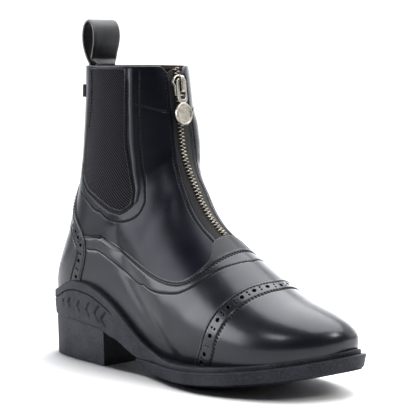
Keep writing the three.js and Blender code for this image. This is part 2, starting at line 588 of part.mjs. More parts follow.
// the slider's own frame: x across the zip, y up along it, z out of the boot; origin mid-back
const sliderPlace = (() => {
  const top = skin(frontAt(sliderTop), 0, 0), foot = skin(frontAt(sliderFoot), 0, 0);
  const y = top.clone().sub(foot).normalize(), x = new THREE.Vector3(0, 1, 0), z = x.clone().cross(y);
  const o = top.add(foot).multiplyScalar(0.5).addScaledVector(z, tapeFace + 2 * gap);
  return { o, x, y, z, m: new THREE.Matrix4().makeBasis(x, y, z) };
})();
const onSlider = new THREE.Group();
onSlider.position.copy(sliderPlace.o);
onSlider.setRotationFromMatrix(sliderPlace.m);
// a flat plate: its outline counter-clockwise, in x and y of the slider's frame
function plate(points, depth, z) {
  const shape = new THREE.Shape(points.map(([a, b]) => new THREE.Vector2(a, b)));
  return toSolid(new THREE.ExtrudeGeometry(shape, { depth, bevelEnabled: false }).translate(0, 0, z));
}
// an outline from its right half, listed from the foot up
const bothHalves = (right) => [...right, ...right.map(([a, b]) => [-a, b]).reverse()];
const half = sliderLength / 2;
const sliderBody = plate(bothHalves([
  [sliderTail / 2, -half], [sliderTail / 2 + 0.3, -0.1 * half], [sliderWidth / 2, 0.3 * half],
  [sliderWidth / 2, 0.62 * half], [0.42 * sliderWidth, 0.86 * half], [0.24 * sliderWidth, half],
]), sliderThickness, 0);
const bridgeTop = half - 0.6, bridgeFoot = bridgeTop - bridgeLength;
const bridgeCentre = (bridgeTop + bridgeFoot) / 2, legCentre = sliderThickness + bridgeRise / 2 - 0.05;
const barCentre = sliderThickness + bridgeRise - bridgeBar / 2;
const bridge = box(bridgeWidth, bridgeLength, bridgeBar, 0, bridgeCentre, barCentre)
  .add(box(bridgeWidth, bridgeBar, bridgeRise, 0, bridgeTop - bridgeBar / 2, legCentre))
  .add(box(bridgeWidth, bridgeBar, bridgeRise, 0, bridgeFoot + bridgeBar / 2, legCentre));
const slider = sliderBody.add(bridge);

// the pull hangs from its cross bar, which lies under the bridge; its frame is the slider's at the hinge
const barHalf = pullThickness / 2;
const hinge = {
  y: bridgeTop - bridgeBar - gap - 1.42 * barHalf,
  z: sliderThickness + (bridgeRise - bridgeBar) / 2,
};
const discY = -(pullLength - barHalf - discDiameter / 2);
const circle = (r, n = 20) => Array.from({ length: n }, (_, i) => {
  const angle = 2 * Math.PI * i / n;
  return [r * Math.cos(angle), discY + r * Math.sin(angle)];
});
const headHalf = pullWidth / 2, neckHalf = pullNeck / 2, slotHalf = pullSlot / 2, corner = 0.8;
const slotFoot = bridgeFoot - hinge.y - 2 * barHalf - 2 * gap - pullPlay, frameFoot = slotFoot - pullNeck / 2;
const frame = plate(bothHalves([
  [neckHalf, discY], [neckHalf, frameFoot - 0.6], [headHalf, frameFoot + 2.2], [headHalf, barHalf - 0.6],
  [headHalf - 0.6, barHalf],
]), pullThickness, -barHalf);
const slot = plate(bothHalves([
  [slotHalf - corner, slotFoot], [slotHalf, slotFoot + corner], [slotHalf, -barHalf],
]), pullThickness + 2, -barHalf - 1);
const pull = frame.subtract(slot)
  .add(plate(circle(discDiameter / 2), pullThickness + discRimRise, -barHalf))
  .subtract(plate(circle(discDiameter / 2 - discRim), 2, barHalf));

// pull loop and keeper at the back
const legBend = 0.5;           // share of the loop's height over which it flattens
const loopPath = [
  // share of loopDepth from the middle, share of loopHeight above the collar
  [-0.30, 0.20], [-0.46, 0.42], [-0.50, 0.64], [-0.40, 0.86], [-0.14, 0.98],
  [0.14, 0.98], [0.40, 0.86], [0.50, 0.66], [0.42, 0.44], [0.22, 0.22],
];
const legHeights = [-loopTail, -loopTail / 2, -0.5, 1.2];
const legStations = legHeights.map((h) => stationAt(collarHeight + h, 1, 16, TOP + 1));
const across = [-0.5, -0.25, 0, 0.25, 0.5].map((v) => v * loopWidth);
function loopGrids() {
  const legs = (off) => legStations.map((s) => across.map((y) => skin(s, 1 - y / perT(s, 1), off)));
  const backX = form(TOP, 1).x, middle = backX + wall / 2 - 0.6;
  const sag = across.map((y) => skin(TOP, 1 - y / perT(TOP, 1), 0).x - backX);
  const depth = loopDepth - loopThickness, height = loopHeight - loopThickness / 2;
  const path = loopPath.map(([a, h]) => new THREE.Vector2(middle + a * depth, collarHeight + h * height));
  const normals = path.map((p, i) => {
    const d = path[Math.min(path.length - 1, i + 1)].clone().sub(path[Math.max(0, i - 1)]).normalize();
    return new THREE.Vector2(-d.y, d.x);
  });
  const bow = (off) => path.map((p, i) => across.map((y, j) => {
    const bend = clamp(1 - (p.y - collarHeight) / (legBend * loopHeight), 0, 1) ** 2;
    return new THREE.Vector3(p.x + normals[i].x * off + sag[j] * bend, y, p.y + normals[i].y * off);
  }));
  const clear = 2 * gap, turned = (rows) => rows.map((row) => row.slice().reverse());
  const outside = legs(clear + loopThickness), inside = legs(-wall - clear - loopThickness).reverse();
  const outsideBack = legs(clear), insideBack = legs(-wall - clear).reverse();
  const outer = [...outside, ...bow(loopThickness / 2), ...inside];
  const inner = [...outsideBack, ...bow(-loopThickness / 2), ...insideBack];
  return [turned(outer), turned(inner)];
}
const loop = between(...loopGrids(), false);
const keeper = (() => {
  const low = collarHeight - keeperDrop - keeperHeight / 2;
  const grid = (off) => [0, 0.5, 1].map((share) => Array.from({ length: 11 }, (_, j) => {
    const t = 0.77 + 0.046 * j;
    return skin(stationAt(low + share * keeperHeight, t, 17, TOP), t, off);
  }));
  return between(grid(gap + keeperThickness), grid(gap), false);
})();

// materials and assembly
function paint(color, roughness, metalness = 0) {
  return new THREE.MeshStandardMaterial({ color, roughness, metalness });
}
const leather = () => paint(0x17181c, 0.32);
const rubber = () => paint(0x232429, 0.75);
const metal = () => paint(0xa59f90, 0.35, 0.9);

const boot = new THREE.Group();
boot.name = 'paddock_boot';
function piece(name, solid, material, parent = boot) {
  const m = solid.getMesh(), g = new THREE.BufferGeometry();
  const points = new Float32Array(m.numVert * 3);
  for (let i = 0; i < m.numVert; i++) {
    for (let k = 0; k < 3; k++) points[3 * i + k] = m.vertProperties[i * m.numProp + k];
  }
  g.setAttribute('position', new THREE.BufferAttribute(points, 3));
  g.setIndex(new THREE.BufferAttribute(new Uint32Array(m.triVerts), 1));
  g.computeVertexNormals();
  const mesh = new THREE.Mesh(g, material);
  mesh.name = name;
  parent.add(mesh);
  return mesh;
}
piece('upper', upper, leather());
piece('toe_cap', toeCap, leather());
piece('counter', counter, leather());
piece('gore_outer', gore(goreRows), paint(0x2a2a30, 0.9));
piece('gore_inner', gore(mirrored(goreRows)), paint(0x2a2a30, 0.9));
piece('insole', insole, paint(0x3a2a26, 0.8));
piece('sole_cup', soleUnit, rubber());
piece('heel', heelBlockSolid, rubber());
piece('outsole', slab, rubber());
piece('zip_tape_outer', tapeHalf(-1), paint(0x101013, 0.9));
piece('zip_tape_inner', tapeHalf(1), paint(0x101013, 0.9));
piece('zip_chain', chain, metal());
boot.add(onSlider);
piece('zip_slider', slider, metal(), onSlider);
const pullPivot = new THREE.Group();
pullPivot.position.set(0, hinge.y, hinge.z);
onSlider.add(pullPivot);
piece('zip_pull', pull, metal(), pullPivot);
piece('pull_loop', loop, leather());
piece('back_keeper', keeper, leather());

export default boot;
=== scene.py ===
"""Looks of the right paddock boot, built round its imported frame: metres, +X toe, +Y inner side, +Z up."""
import math

import bmesh
import bpy
import numpy as np
from mathutils import Matrix, Vector
from mathutils.bvhtree import BVHTree
from mathutils.kdtree import KDTree


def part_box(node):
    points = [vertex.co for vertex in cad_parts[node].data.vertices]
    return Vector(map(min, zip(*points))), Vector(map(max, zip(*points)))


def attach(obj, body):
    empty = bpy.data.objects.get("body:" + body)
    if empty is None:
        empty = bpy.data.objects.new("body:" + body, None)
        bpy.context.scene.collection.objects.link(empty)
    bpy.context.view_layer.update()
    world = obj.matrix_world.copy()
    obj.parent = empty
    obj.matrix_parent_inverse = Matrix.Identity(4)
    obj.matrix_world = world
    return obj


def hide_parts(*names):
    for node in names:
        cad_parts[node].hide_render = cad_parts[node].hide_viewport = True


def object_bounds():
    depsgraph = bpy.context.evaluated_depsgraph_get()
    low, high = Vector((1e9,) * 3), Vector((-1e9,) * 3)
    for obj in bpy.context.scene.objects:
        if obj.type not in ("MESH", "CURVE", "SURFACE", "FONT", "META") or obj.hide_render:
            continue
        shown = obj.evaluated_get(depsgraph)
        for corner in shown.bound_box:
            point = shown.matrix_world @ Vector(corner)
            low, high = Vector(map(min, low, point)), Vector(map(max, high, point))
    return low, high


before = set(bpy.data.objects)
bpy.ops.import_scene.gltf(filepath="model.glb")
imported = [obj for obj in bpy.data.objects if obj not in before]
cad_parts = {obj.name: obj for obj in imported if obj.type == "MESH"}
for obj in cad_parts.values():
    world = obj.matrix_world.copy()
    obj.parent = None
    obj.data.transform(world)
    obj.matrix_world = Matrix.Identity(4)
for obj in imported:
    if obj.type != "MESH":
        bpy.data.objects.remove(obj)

cad_low, cad_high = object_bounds()

# Studio
# A white table under one wide overhead softbox and weaker side panels, so that the polished leather
# shows pale bands on its upward faces and stays near black on the upright shaft.
scene = bpy.context.scene
scene.view_settings.view_transform = "Standard"
scene.view_settings.look = "Medium High Contrast"

table = bpy.data.objects.new("table", bpy.data.meshes.new("table"))
table_reach, table_sides = 1.15, 96
table.data.from_pydata([(0.1 + table_reach * math.cos(2 * math.pi * k / table_sides),
                         table_reach * math.sin(2 * math.pi * k / table_sides), 0) for k in range(table_sides)],
                       [], [tuple(range(table_sides))])
scene.collection.objects.link(table)
table_paint = bpy.data.materials.new("white_table")
table_paint.use_nodes = True
table_shader = table_paint.node_tree.nodes["Principled BSDF"]
table_shader.inputs["Base Color"].default_value = (0.90, 0.90, 0.91, 1)
table_shader.inputs["Roughness"].default_value = 0.9
table_shader.inputs["Specular IOR Level"].default_value = 0.1
table.data.materials.append(table_paint)

world = bpy.data.worlds.new("studio")
world.use_nodes = True
scene.world = world
sky = world.node_tree
surround = sky.nodes["Background"]
surround.inputs["Color"].default_value = (0.93, 0.96, 1.0, 1)
toward = sky.nodes.new("ShaderNodeTexCoord")
front = sky.nodes.new("ShaderNodeVectorMath")
front.operation = "DOT_PRODUCT"
front.inputs[1].default_value = (0.72, -0.69, 0)
dark_front = sky.nodes.new("ShaderNodeMapRange")
for socket, value in zip(("From Min", "From Max", "To Min", "To Max"), (-0.5, 0.8, 0.16, 0.015)):
    dark_front.inputs[socket].default_value = value
white_back = sky.nodes.new("ShaderNodeMapRange")
for socket, value in zip(("From Min", "From Max", "To Min", "To Max"), (-0.97, -0.70, 2.4, 0.0)):
    white_back.inputs[socket].default_value = value
both_parts = sky.nodes.new("ShaderNodeMath")
both_parts.operation = "ADD"
sky.links.new(toward.outputs["Generated"], front.inputs[0])
for part, ramp in enumerate((dark_front, white_back)):
    sky.links.new(front.outputs["Value"], ramp.inputs["Value"])
    sky.links.new(ramp.outputs[0], both_parts.inputs[part])
sky.links.new(both_parts.outputs[0], surround.inputs["Strength"])
backdrop = sky.nodes.new("ShaderNodeBackground")
backdrop.inputs["Color"].default_value = (1, 1, 1, 1)
backdrop.inputs["Strength"].default_value = 1.05
seen = sky.nodes.new("ShaderNodeLightPath")
choose = sky.nodes.new("ShaderNodeMixShader")
sky.links.new(seen.outputs["Is Camera Ray"], choose.inputs[0])
sky.links.new(surround.outputs[0], choose.inputs[1])
sky.links.new(backdrop.outputs[0], choose.inputs[2])
sky.links.new(choose.outputs[0], sky.nodes["World Output"].inputs[0])


def softbox(name, place, aim, width, height, power, colour=(1, 1, 1)):
    """A rectangular area light that looks at a point of the boot."""
    light = bpy.data.lights.new(name, "AREA")
    light.shape = "RECTANGLE"
    light.size, light.size_y = width, height
    light.energy = power
    light.color = colour
    lamp = bpy.data.objects.new(name, light)
    lamp.location = place
    lamp.rotation_euler = (Vector(aim) - Vector(place)).to_track_quat("-Z", "Y").to_euler()
    scene.collection.objects.link(lamp)
    return lamp


middle = (cad_low + cad_high) / 2
softbox("overhead", (0.12, 0.42, 1.5), middle, 2.1, 1.6, 54)
softbox("right_wall", (0.25, 1.65, 0.75), middle, 2.6, 1.35, 15)
left_wall = softbox("left_wall", (-0.92, -1.28, 0.56), middle, 1.75, 0.92, 32)
cap_card = softbox("cap_card", (0.50, -1.12, 1.03), middle, 0.36, 0.34, 3.6)
# both are flagged off the table, which keeps the shadow in front of the sole dark
flagged = bpy.data.collections.new("flagged_off")
flagged.objects.link(table)
flagged.collection_objects[0].light_linking.link_state = "EXCLUDE"
for lamp in (left_wall, cap_card):
    lamp.light_linking.receiver_collection = flagged

softbox("toe_card", (1.35, 0.30, 1.05), middle, 0.42, 0.42, 7.5, (1, 0.97, 0.90))

# Camera
# The photograph's place: 45 degrees round from the toe, 223 mm above the table and looking slightly down.
camera_data = bpy.data.cameras.new("camera")
camera = bpy.data.objects.new("camera", camera_data)
camera_place = Vector((0.8690, -0.7608, 0.2229))
camera_aim = Vector((0.1099, 0.0, 0.1141))
camera.location = camera_place
camera.rotation_euler = (camera_aim - camera_place).to_track_quat("-Z", "Y").to_euler()
camera_data.sensor_width = 36
camera_data.lens = 135.5
camera_data.clip_start, camera_data.clip_end = 0.05, 30
scene.collection.objects.link(camera)
scene.camera = camera

# The last
# The foot form that the leather was pulled over: a fan of closed sections from the toe to the collar.
# Every leather piece is placed on it by its station (0 at the toe, 24 at the collar) and its turn
# (0 along the front, -1 round the outer side to the back, +1 round the inner side). Lengths are in mm.
MM = 0.001
heel_box = [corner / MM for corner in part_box("heel")]
outsole_box = [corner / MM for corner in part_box("outsole")]
heel_rear = heel_box[0].x
heel_length = heel_box[1].x - heel_box[0].x
sole_length = outsole_box[1].x - heel_rear
collar_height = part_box("upper")[1].z / MM
ball_width = 100.0
heel_seat, forefoot_bed, toe_spring = 32.5, 11.5, 17.0


def along(rows, v, column=1):
    """Value of a column at v, with smooth slopes between the rows."""
    rows = np.array(rows, float)
    x, y = rows[:, 0], rows[:, column]
    v = np.clip(np.asarray(v, float), x[0], x[-1])
    i = np.clip(np.searchsorted(x, v, "right") - 1, 0, len(x) - 2)
    k = np.arange(len(x))
    before, after = np.maximum(k - 1, 0), np.minimum(k + 1, len(x) - 1)
    slope = (y[after] - y[before]) / (x[after] - x[before])
    h = x[i + 1] - x[i]
    t = (v - x[i]) / h
    t2, t3 = t * t, t ** 3
    return ((2 * t3 - 3 * t2 + 1) * y[i] + (t3 - 2 * t2 + t) * h * slope[i]
            + (3 * t2 - 2 * t3) * y[i + 1] + (t3 - t2) * h * slope[i + 1])


def share_of(x):
    """Share of the sole's length at x."""
    return (np.asarray(x) - heel_rear) / sole_length


def bed(u):
    """Height of the footbed."""
    t = np.clip((np.asarray(u, float) - 0.16) / 0.4, 0, 1)
    spring = toe_spring * np.maximum(0, (np.asarray(u, float) - 0.478) / 0.519) ** 2
    return forefoot_bed + (heel_seat - forefoot_bed) * (1 - t * t * (3 - 2 * t)) + spring


LAST = np.array([
    # front u, w, back u, w, lateral, medial, centre, widest, lateral power, medial power, back power
    [0.975, 0.055, 0.975, 0.055, 0.00, 0.00, 0.190, 0.50, 2.0, 2.0, 2.0],
    [0.969, 0.085, 0.971, 0.020, 0.19, 0.18, 0.186, 0.50, 2.0, 2.0, 2.1],
    [0.951, 0.116, 0.954, -0.008, 0.37, 0.33, 0.176, 0.55, 2.0, 1.95, 2.6],
    [0.921, 0.146, 0.924, -0.022, 0.55, 0.47, 0.160, 0.58, 2.0, 1.9, 3.0],
    [0.882, 0.176, 0.884, -0.030, 0.70, 0.59, 0.140, 0.60, 2.0, 1.85, 3.4],
    [0.832, 0.211, 0.834, -0.033, 0.81, 0.69, 0.112, 0.62, 2.0, 1.8, 3.6],
    [0.776, 0.257, 0.776, -0.033, 0.87, 0.765, 0.084, 0.64, 2.0, 1.8, 3.6],
    [0.717, 0.313, 0.709, -0.030, 0.89, 0.81, 0.056, 0.65, 1.95, 1.8, 3.6],
    [0.661, 0.367, 0.635, -0.026, 0.87, 0.81, 0.032, 0.64, 1.9, 1.85, 3.5],
    [0.609, 0.419, 0.553, -0.024, 0.825, 0.755, 0.016, 0.60, 1.9, 1.9, 3.3],
    [0.561, 0.470, 0.464, -0.028, 0.77, 0.69, 0.006, 0.56, 1.9, 1.9, 3.1],
    [0.522, 0.527, 0.356, -0.035, 0.71, 0.66, 0, 0.52, 1.9, 2.0, 3.0],
    [0.494, 0.583, 0.233, -0.040, 0.67, 0.655, 0, 0.48, 1.95, 2.2, 3.0],
    [0.476, 0.624, 0.114, -0.036, 0.645, 0.655, 0, 0.46, 2.0, 2.35, 2.9],
    [0.465, 0.651, 0.027, 0.000, 0.63, 0.66, 0, 0.46, 2.05, 2.5, 2.8],
    [0.457, 0.673, 0.003, 0.090, 0.62, 0.665, 0, 0.46, 2.1, 2.6, 2.6],
    [0.451, 0.695, 0.014, 0.187, 0.61, 0.685, 0, 0.46, 2.1, 2.8, 2.3],
    [0.446, 0.720, 0.038, 0.287, 0.605, 0.69, 0, 0.46, 2.1, 2.9, 2.1],
    [0.443, 0.745, 0.061, 0.393, 0.605, 0.69, 0, 0.46, 2.1, 2.9, 2.1],
    [0.440, 0.775, 0.083, 0.504, 0.61, 0.69, 0, 0.47, 2.1, 2.8, 2.1],
    [0.4375, 0.811, 0.101, 0.621, 0.625, 0.69, 0, 0.48, 2.1, 2.6, 2.1],
    [0.435, 0.854, 0.114, 0.738, 0.645, 0.665, 0, 0.49, 2.1, 2.25, 2.1],
    [0.4315, 0.908, 0.124, 0.855, 0.655, 0.66, 0, 0.50, 2.1, 2.1, 2.1],
    [0.427, 0.959, 0.127, 0.944, 0.66, 0.655, 0, 0.50, 2.1, 2.05, 2.1],
    [0.422, 1.000, 0.129, 1.000, 0.66, 0.65, 0, 0.50, 2.1, 2.0, 2.1],
])
TOP = len(LAST) - 1
toe_twin = LAST[1].copy()
toe_twin[[1, 3]] = LAST[1][[3, 1]]
toe_twin[[4, 5]] = -LAST[1][[4, 5]]
LAST_ENDS = np.vstack([toe_twin, LAST, 2 * LAST[-1] - LAST[-2]])


def last_row(s):
    """The section at station s; above the collar its ends run on in straight lines."""
    s = np.asarray(s, float)
    inside = np.clip(s, 0, TOP)
    i = np.minimum(inside.astype(int), TOP - 1)
    t = (inside - i)[..., None]
    a, b, c, d = (LAST_ENDS[i + k] for k in range(4))
    row = 0.5 * (2 * b + (c - a) * t + (2 * a - 5 * b + 4 * c - d) * t ** 2 + (3 * b - a - 3 * c + d) * t ** 3)
    beyond = np.maximum(s - TOP, 0)[..., None] * (LAST[-1] - LAST[-2])
    beyond[..., 4:] = 0
    return row + beyond


def form(s, t):
    """Points of the last, in mm."""
    s, t = np.broadcast_arrays(np.asarray(s, float), np.asarray(t, float))
    u1, w1, u2, w2, lateral, medial, centre, widest, power_l, power_m, power_b = np.moveaxis(last_row(s), -1, 0)
    turn = (t + 1) % 2 - 1
    z1, z2 = bed(u1) + w1 * (collar_height - bed(u1)), bed(u2) + w2 * (collar_height - bed(u2))
    angle = np.abs(turn) * math.pi
    c, n = np.abs(np.cos(angle)), np.abs(np.sin(angle))
    back = angle > math.pi / 2
    p = np.where(back, power_b, np.where(turn < 0, power_l, power_m))
    q = np.where(back, widest + (1 - widest) * c ** (2 / p), widest * (1 - c ** (2 / p)))
    y = (centre + np.where(turn < 0, -lateral, medial) * n ** (2 / p)) * ball_width / 2
    x1, x2 = heel_rear + u1 * sole_length, heel_rear + u2 * sole_length
    return np.stack([x1 + (x2 - x1) * q, y, z1 + (z2 - z1) * q], -1)


def facing(s, t):
    """Unit vectors that point out of the last."""
    s, t = np.broadcast_arrays(np.asarray(s, float), np.asarray(t, float))
    e = 2e-3
    ds = form(s + e, t) - form(np.maximum(s - e, 0.02), t)
    dt = form(s, t + e) - form(s, t - e)
    n = np.cross(dt, ds)
    n = n / (np.linalg.norm(n, axis=-1, keepdims=True) + 1e-12)
    n[s < 0.03] = (1, 0, 0)
    return n


def skin(s, t, off=0.0):
    """Points a distance off the last, in mm."""
    return form(s, t) + facing(s, t) * np.asarray(off, float)[..., None]


def per_station(s, t):
    low = np.maximum(np.asarray(s, float) - 0.05, 0)
    return np.linalg.norm(form(low + 0.1, t) - form(low, t), axis=-1) / 0.1 + 1e-6


def per_turn(s, t):
    t = np.asarray(t, float)
    return np.linalg.norm(form(s, t + 0.01) - form(s, t - 0.01), axis=-1) / 0.02 + 1e-6


def measured(line, s, t):
    """Turns a signed function of station and turn into a signed distance over the leather, in mm."""
    e = 0.004
    value = line(s, t)
    ds = (line(s + e, t) - line(s - e, t)) / (2 * e) / per_station(s, t)
    dt = (line(s, t + e) - line(s, t - e)) / (2 * e) / per_turn(s, t)
    return value / np.maximum(np.hypot(ds, dt), 1e-5)


def stations(low, high, pitch, turn):
    """Stations a steady distance apart, measured along one turn."""
    fine = np.linspace(low, high, 400)
    steps = np.linalg.norm(np.diff(form(fine, turn), axis=0), axis=1)
    length = np.concatenate([[0], np.cumsum(steps)])
    return np.interp(np.linspace(0, length[-1], max(3, round(length[-1] / pitch) + 1)), length, fine)


# Creases and rolls of the worn-in shape
# Soft troughs where the boot bends at the ankle and the vamp: each follows a path over
# the last, with its depth (above 0 sinks, below 0 swells) and half width in mm.
CREASES = [
    (1.5, 5.5, [(13.85, -0.444), (12.60, -0.495), (11.73, -0.515), (11.13, -0.531), (10.59, -0.545),
                (9.75, -0.587), (9.02, -0.668)]),
    (-0.5, 6.5, [(12.9, -0.40), (12.0, -0.43), (11.2, -0.45), (10.4, -0.47), (9.6, -0.51)]),
    (0.9, 5.0, [(13.85, 0.444), (12.60, 0.495), (11.73, 0.515), (11.13, 0.531), (10.59, 0.545), (9.75, 0.587)]),
    (0.7, 7.0, [(13.2, -0.10), (12.6, -0.18), (12.1, -0.27), (11.9, -0.36)]),
    (0.7, 7.0, [(13.2, 0.10), (12.6, 0.18), (12.1, 0.27), (11.9, 0.36)]),
    (0.5, 6.0, [(15.6, -0.12), (15.3, -0.20), (15.0, -0.28)]),
    (0.6, 8.0, [(7.9, -0.10), (8.0, -0.25), (8.3, -0.38)]),
]


def smooth_path(path, count):
    """Points along a smooth curve through given ones, evenly spread between them."""
    path = np.array(path, float)
    k = np.arange(len(path), dtype=float)
    v = np.linspace(0, len(path) - 1, count)
    return np.stack([along(np.column_stack([k, path[:, c]]), v) for c in range(path.shape[1])], -1)


crease_lines = [(depth, width, form(*smooth_path(path, 40).T)) for depth, width, path in CREASES]


def relief(points):
    """How far creases and rolls lift the leather at points of the last, in mm."""
    lift = np.zeros(len(points))
    for depth, width, line in crease_lines:
        gap2 = np.full(len(points), np.inf)
        for place in line:
            gap2 = np.minimum(gap2, ((points - place) ** 2).sum(1))
        lift -= depth * np.exp(-gap2 / width ** 2)
    return lift


# Quarters and shaft
# Smooth black leather lined in maroon brown, cut away at the throat for the zip and at both sides for
# the elastic gores. One wall 2 mm thick, open at the collar.
class Line:
    """A line drawn on the leather: a seam, an edge or a fold. Its left side counts as positive."""

    def __init__(self, path, count=None):
        self.path = smooth_path(path, count or 24 * len(path))
        s, t = self.path.T
        self.points = form(s, t)
        ahead = np.gradient(self.points, axis=0)
        self.ahead = ahead / np.linalg.norm(ahead, axis=1, keepdims=True)
        self.out = facing(s, t)
        self.side = np.cross(self.out, self.ahead)
        self.tree = KDTree(len(s))
        for k, point in enumerate(self.points):
            self.tree.insert(point, k)
        self.tree.balance()

    def distance(self, points):
        """Signed distance of points of the last from the line, in mm."""
        near = [self.tree.find(p) for p in points]
        nearest = np.array([n[1] for n in near])
        length = np.array([n[2] for n in near])
        step = points - self.points[nearest]
        along_line = (step * self.ahead[nearest]).sum(1)
        across = (step * self.side[nearest]).sum(1)
        inner = (nearest > 0) & (nearest < len(self.path) - 1)
        exact = np.sqrt(np.maximum(length ** 2 - np.where(inner, along_line, 0) ** 2, 0))
        return np.where(across < 0, -exact, exact)

    def beside(self, offset):
        """The path of a line that runs a steady distance to this one's left."""
        s, t = self.path.T
        e = 1e-3
        ds = (form(s + e, t) - form(s - e, t)) / (2 * e)
        dt = (form(s, t + e) - form(s, t - e)) / (2 * e)
        want = self.side * offset
        a, b, c = (ds * ds).sum(1), (ds * dt).sum(1), (dt * dt).sum(1)
        p, q = (want * ds).sum(1), (want * dt).sum(1)
        det = a * c - b * b
        return np.column_stack([s + (p * c - q * b) / det, t + (q * a - p * b) / det])

    def spaced(self, pitch, offset=0.0, start=0.0, end=0.0):
        """Stations and turns a steady distance apart along the line, or along one beside it."""
        path = self.beside(offset) if offset else self.path
        points = form(*path.T)
        run = np.concatenate([[0], np.cumsum(np.linalg.norm(np.diff(points, axis=0), axis=1))])
        at = np.arange(start, run[-1] - end, pitch)
        return np.column_stack([np.interp(at, run, path[:, 0]), np.interp(at, run, path[:, 1])])


def dent(distance, half):
    """1 on a line, falling smoothly to 0 at half its width."""
    return np.clip(1 - (distance / half) ** 2, 0, 1) ** 2


class Sheet:
    """A grid of flat places (a, b) that is cut along the level lines of distance fields."""

    def __init__(self, a_rows, b_columns, keep):
        a, b = (v.ravel() for v in np.meshgrid(a_rows, b_columns, indexing="ij"))
        n, m = len(a_rows), len(b_columns)
        values = np.clip(keep(a, b), -30, 30)
        number = np.arange(n * m).reshape(n, m)
        quads = np.stack([number[:-1, :-1], number[:-1, 1:], number[1:, 1:], number[1:, :-1]], -1).reshape(-1, 4)
        self.bm = bmesh.new()
        corners = [self.bm.verts.new(p) for p in zip(a, b, values)]
        for quad in quads[(values[quads] > 0).any(1)]:
            self.bm.faces.new([corners[k] for k in quad])
        self.drop_loose()

    def drop_loose(self):
        bmesh.ops.delete(self.bm, geom=[v for v in self.bm.verts if not v.link_faces], context="VERTS")

    def flat(self):
        return np.array([v.co[:2] for v in self.bm.verts]).T

    def load(self, values):
        for v, value in zip(self.bm.verts, np.clip(values, -30, 30)):
            v.co.z = value

    def cut(self, level, clear=False):
        """Cuts along one level; clear drops everything below it."""
        if clear:
            geometry = self.bm.verts[:] + self.bm.edges[:] + self.bm.faces[:]
        else:
            faces = {f for v in self.bm.verts if abs(v.co.z - level) < 4 for f in v.link_faces}
            geometry = list({e for f in faces for e in f.edges} | {v for f in faces for v in f.verts} | faces)
        bmesh.ops.bisect_plane(self.bm, geom=geometry, dist=1e-4, plane_co=(0, 0, level),
                               plane_no=(0, 0, 1), clear_inner=clear)

    def refine(self, near):
        """Splits the faces in four by four where near is true."""
        for v, one in zip(self.bm.verts, near):
            v.tag = bool(one)
        edges = [e for e in self.bm.edges if e.verts[0].tag or e.verts[1].tag]
        bmesh.ops.subdivide_edges(self.bm, edges=edges, cuts=3, use_grid_fill=True)

    def close(self, name, body, top_points, under_points, paint):
        """A closed body between two sets of points, one of each for every place of the sheet."""
        self.bm.verts.index_update()
        faces = [[v.index for v in f.verts] for f in self.bm.faces]
        border = [(loop.vert.index, loop.link_loop_next.vert.index)
                  for f in self.bm.faces for loop in f.loops if len(loop.edge.link_faces) == 1]
        self.bm.free()
        n = len(top_points)
        both = faces + [[k + n for k in reversed(f)] for f in faces]
        both += [[b, a, a + n, b + n] for a, b in border]
        mesh = bpy.data.meshes.new(name)
        mesh.from_pydata((np.vstack([top_points, under_points]) * MM).tolist(), [], both)
        slots = np.zeros(len(both), int)
        if len(paint) > 1:
            slots[len(faces):2 * len(faces)] = 1
        mesh.polygons.foreach_set("material_index", slots)
        mesh.polygons.foreach_set("use_smooth", np.ones(len(both), bool))
        for one in paint:
            mesh.materials.append(one)
        mesh.set_sharp_from_angle(angle=math.radians(50))
        made = bpy.data.objects.new(name, mesh)
        scene.collection.objects.link(made)
        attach(made, body)
        return made


def rolled(inside, edge):
    """How far a rounded edge has dropped, from the distance inside it."""
    inward = np.clip(1 - np.maximum(inside, 0) / edge, 0, 1)
    return edge * (1 - np.sqrt(1 - inward ** 2))


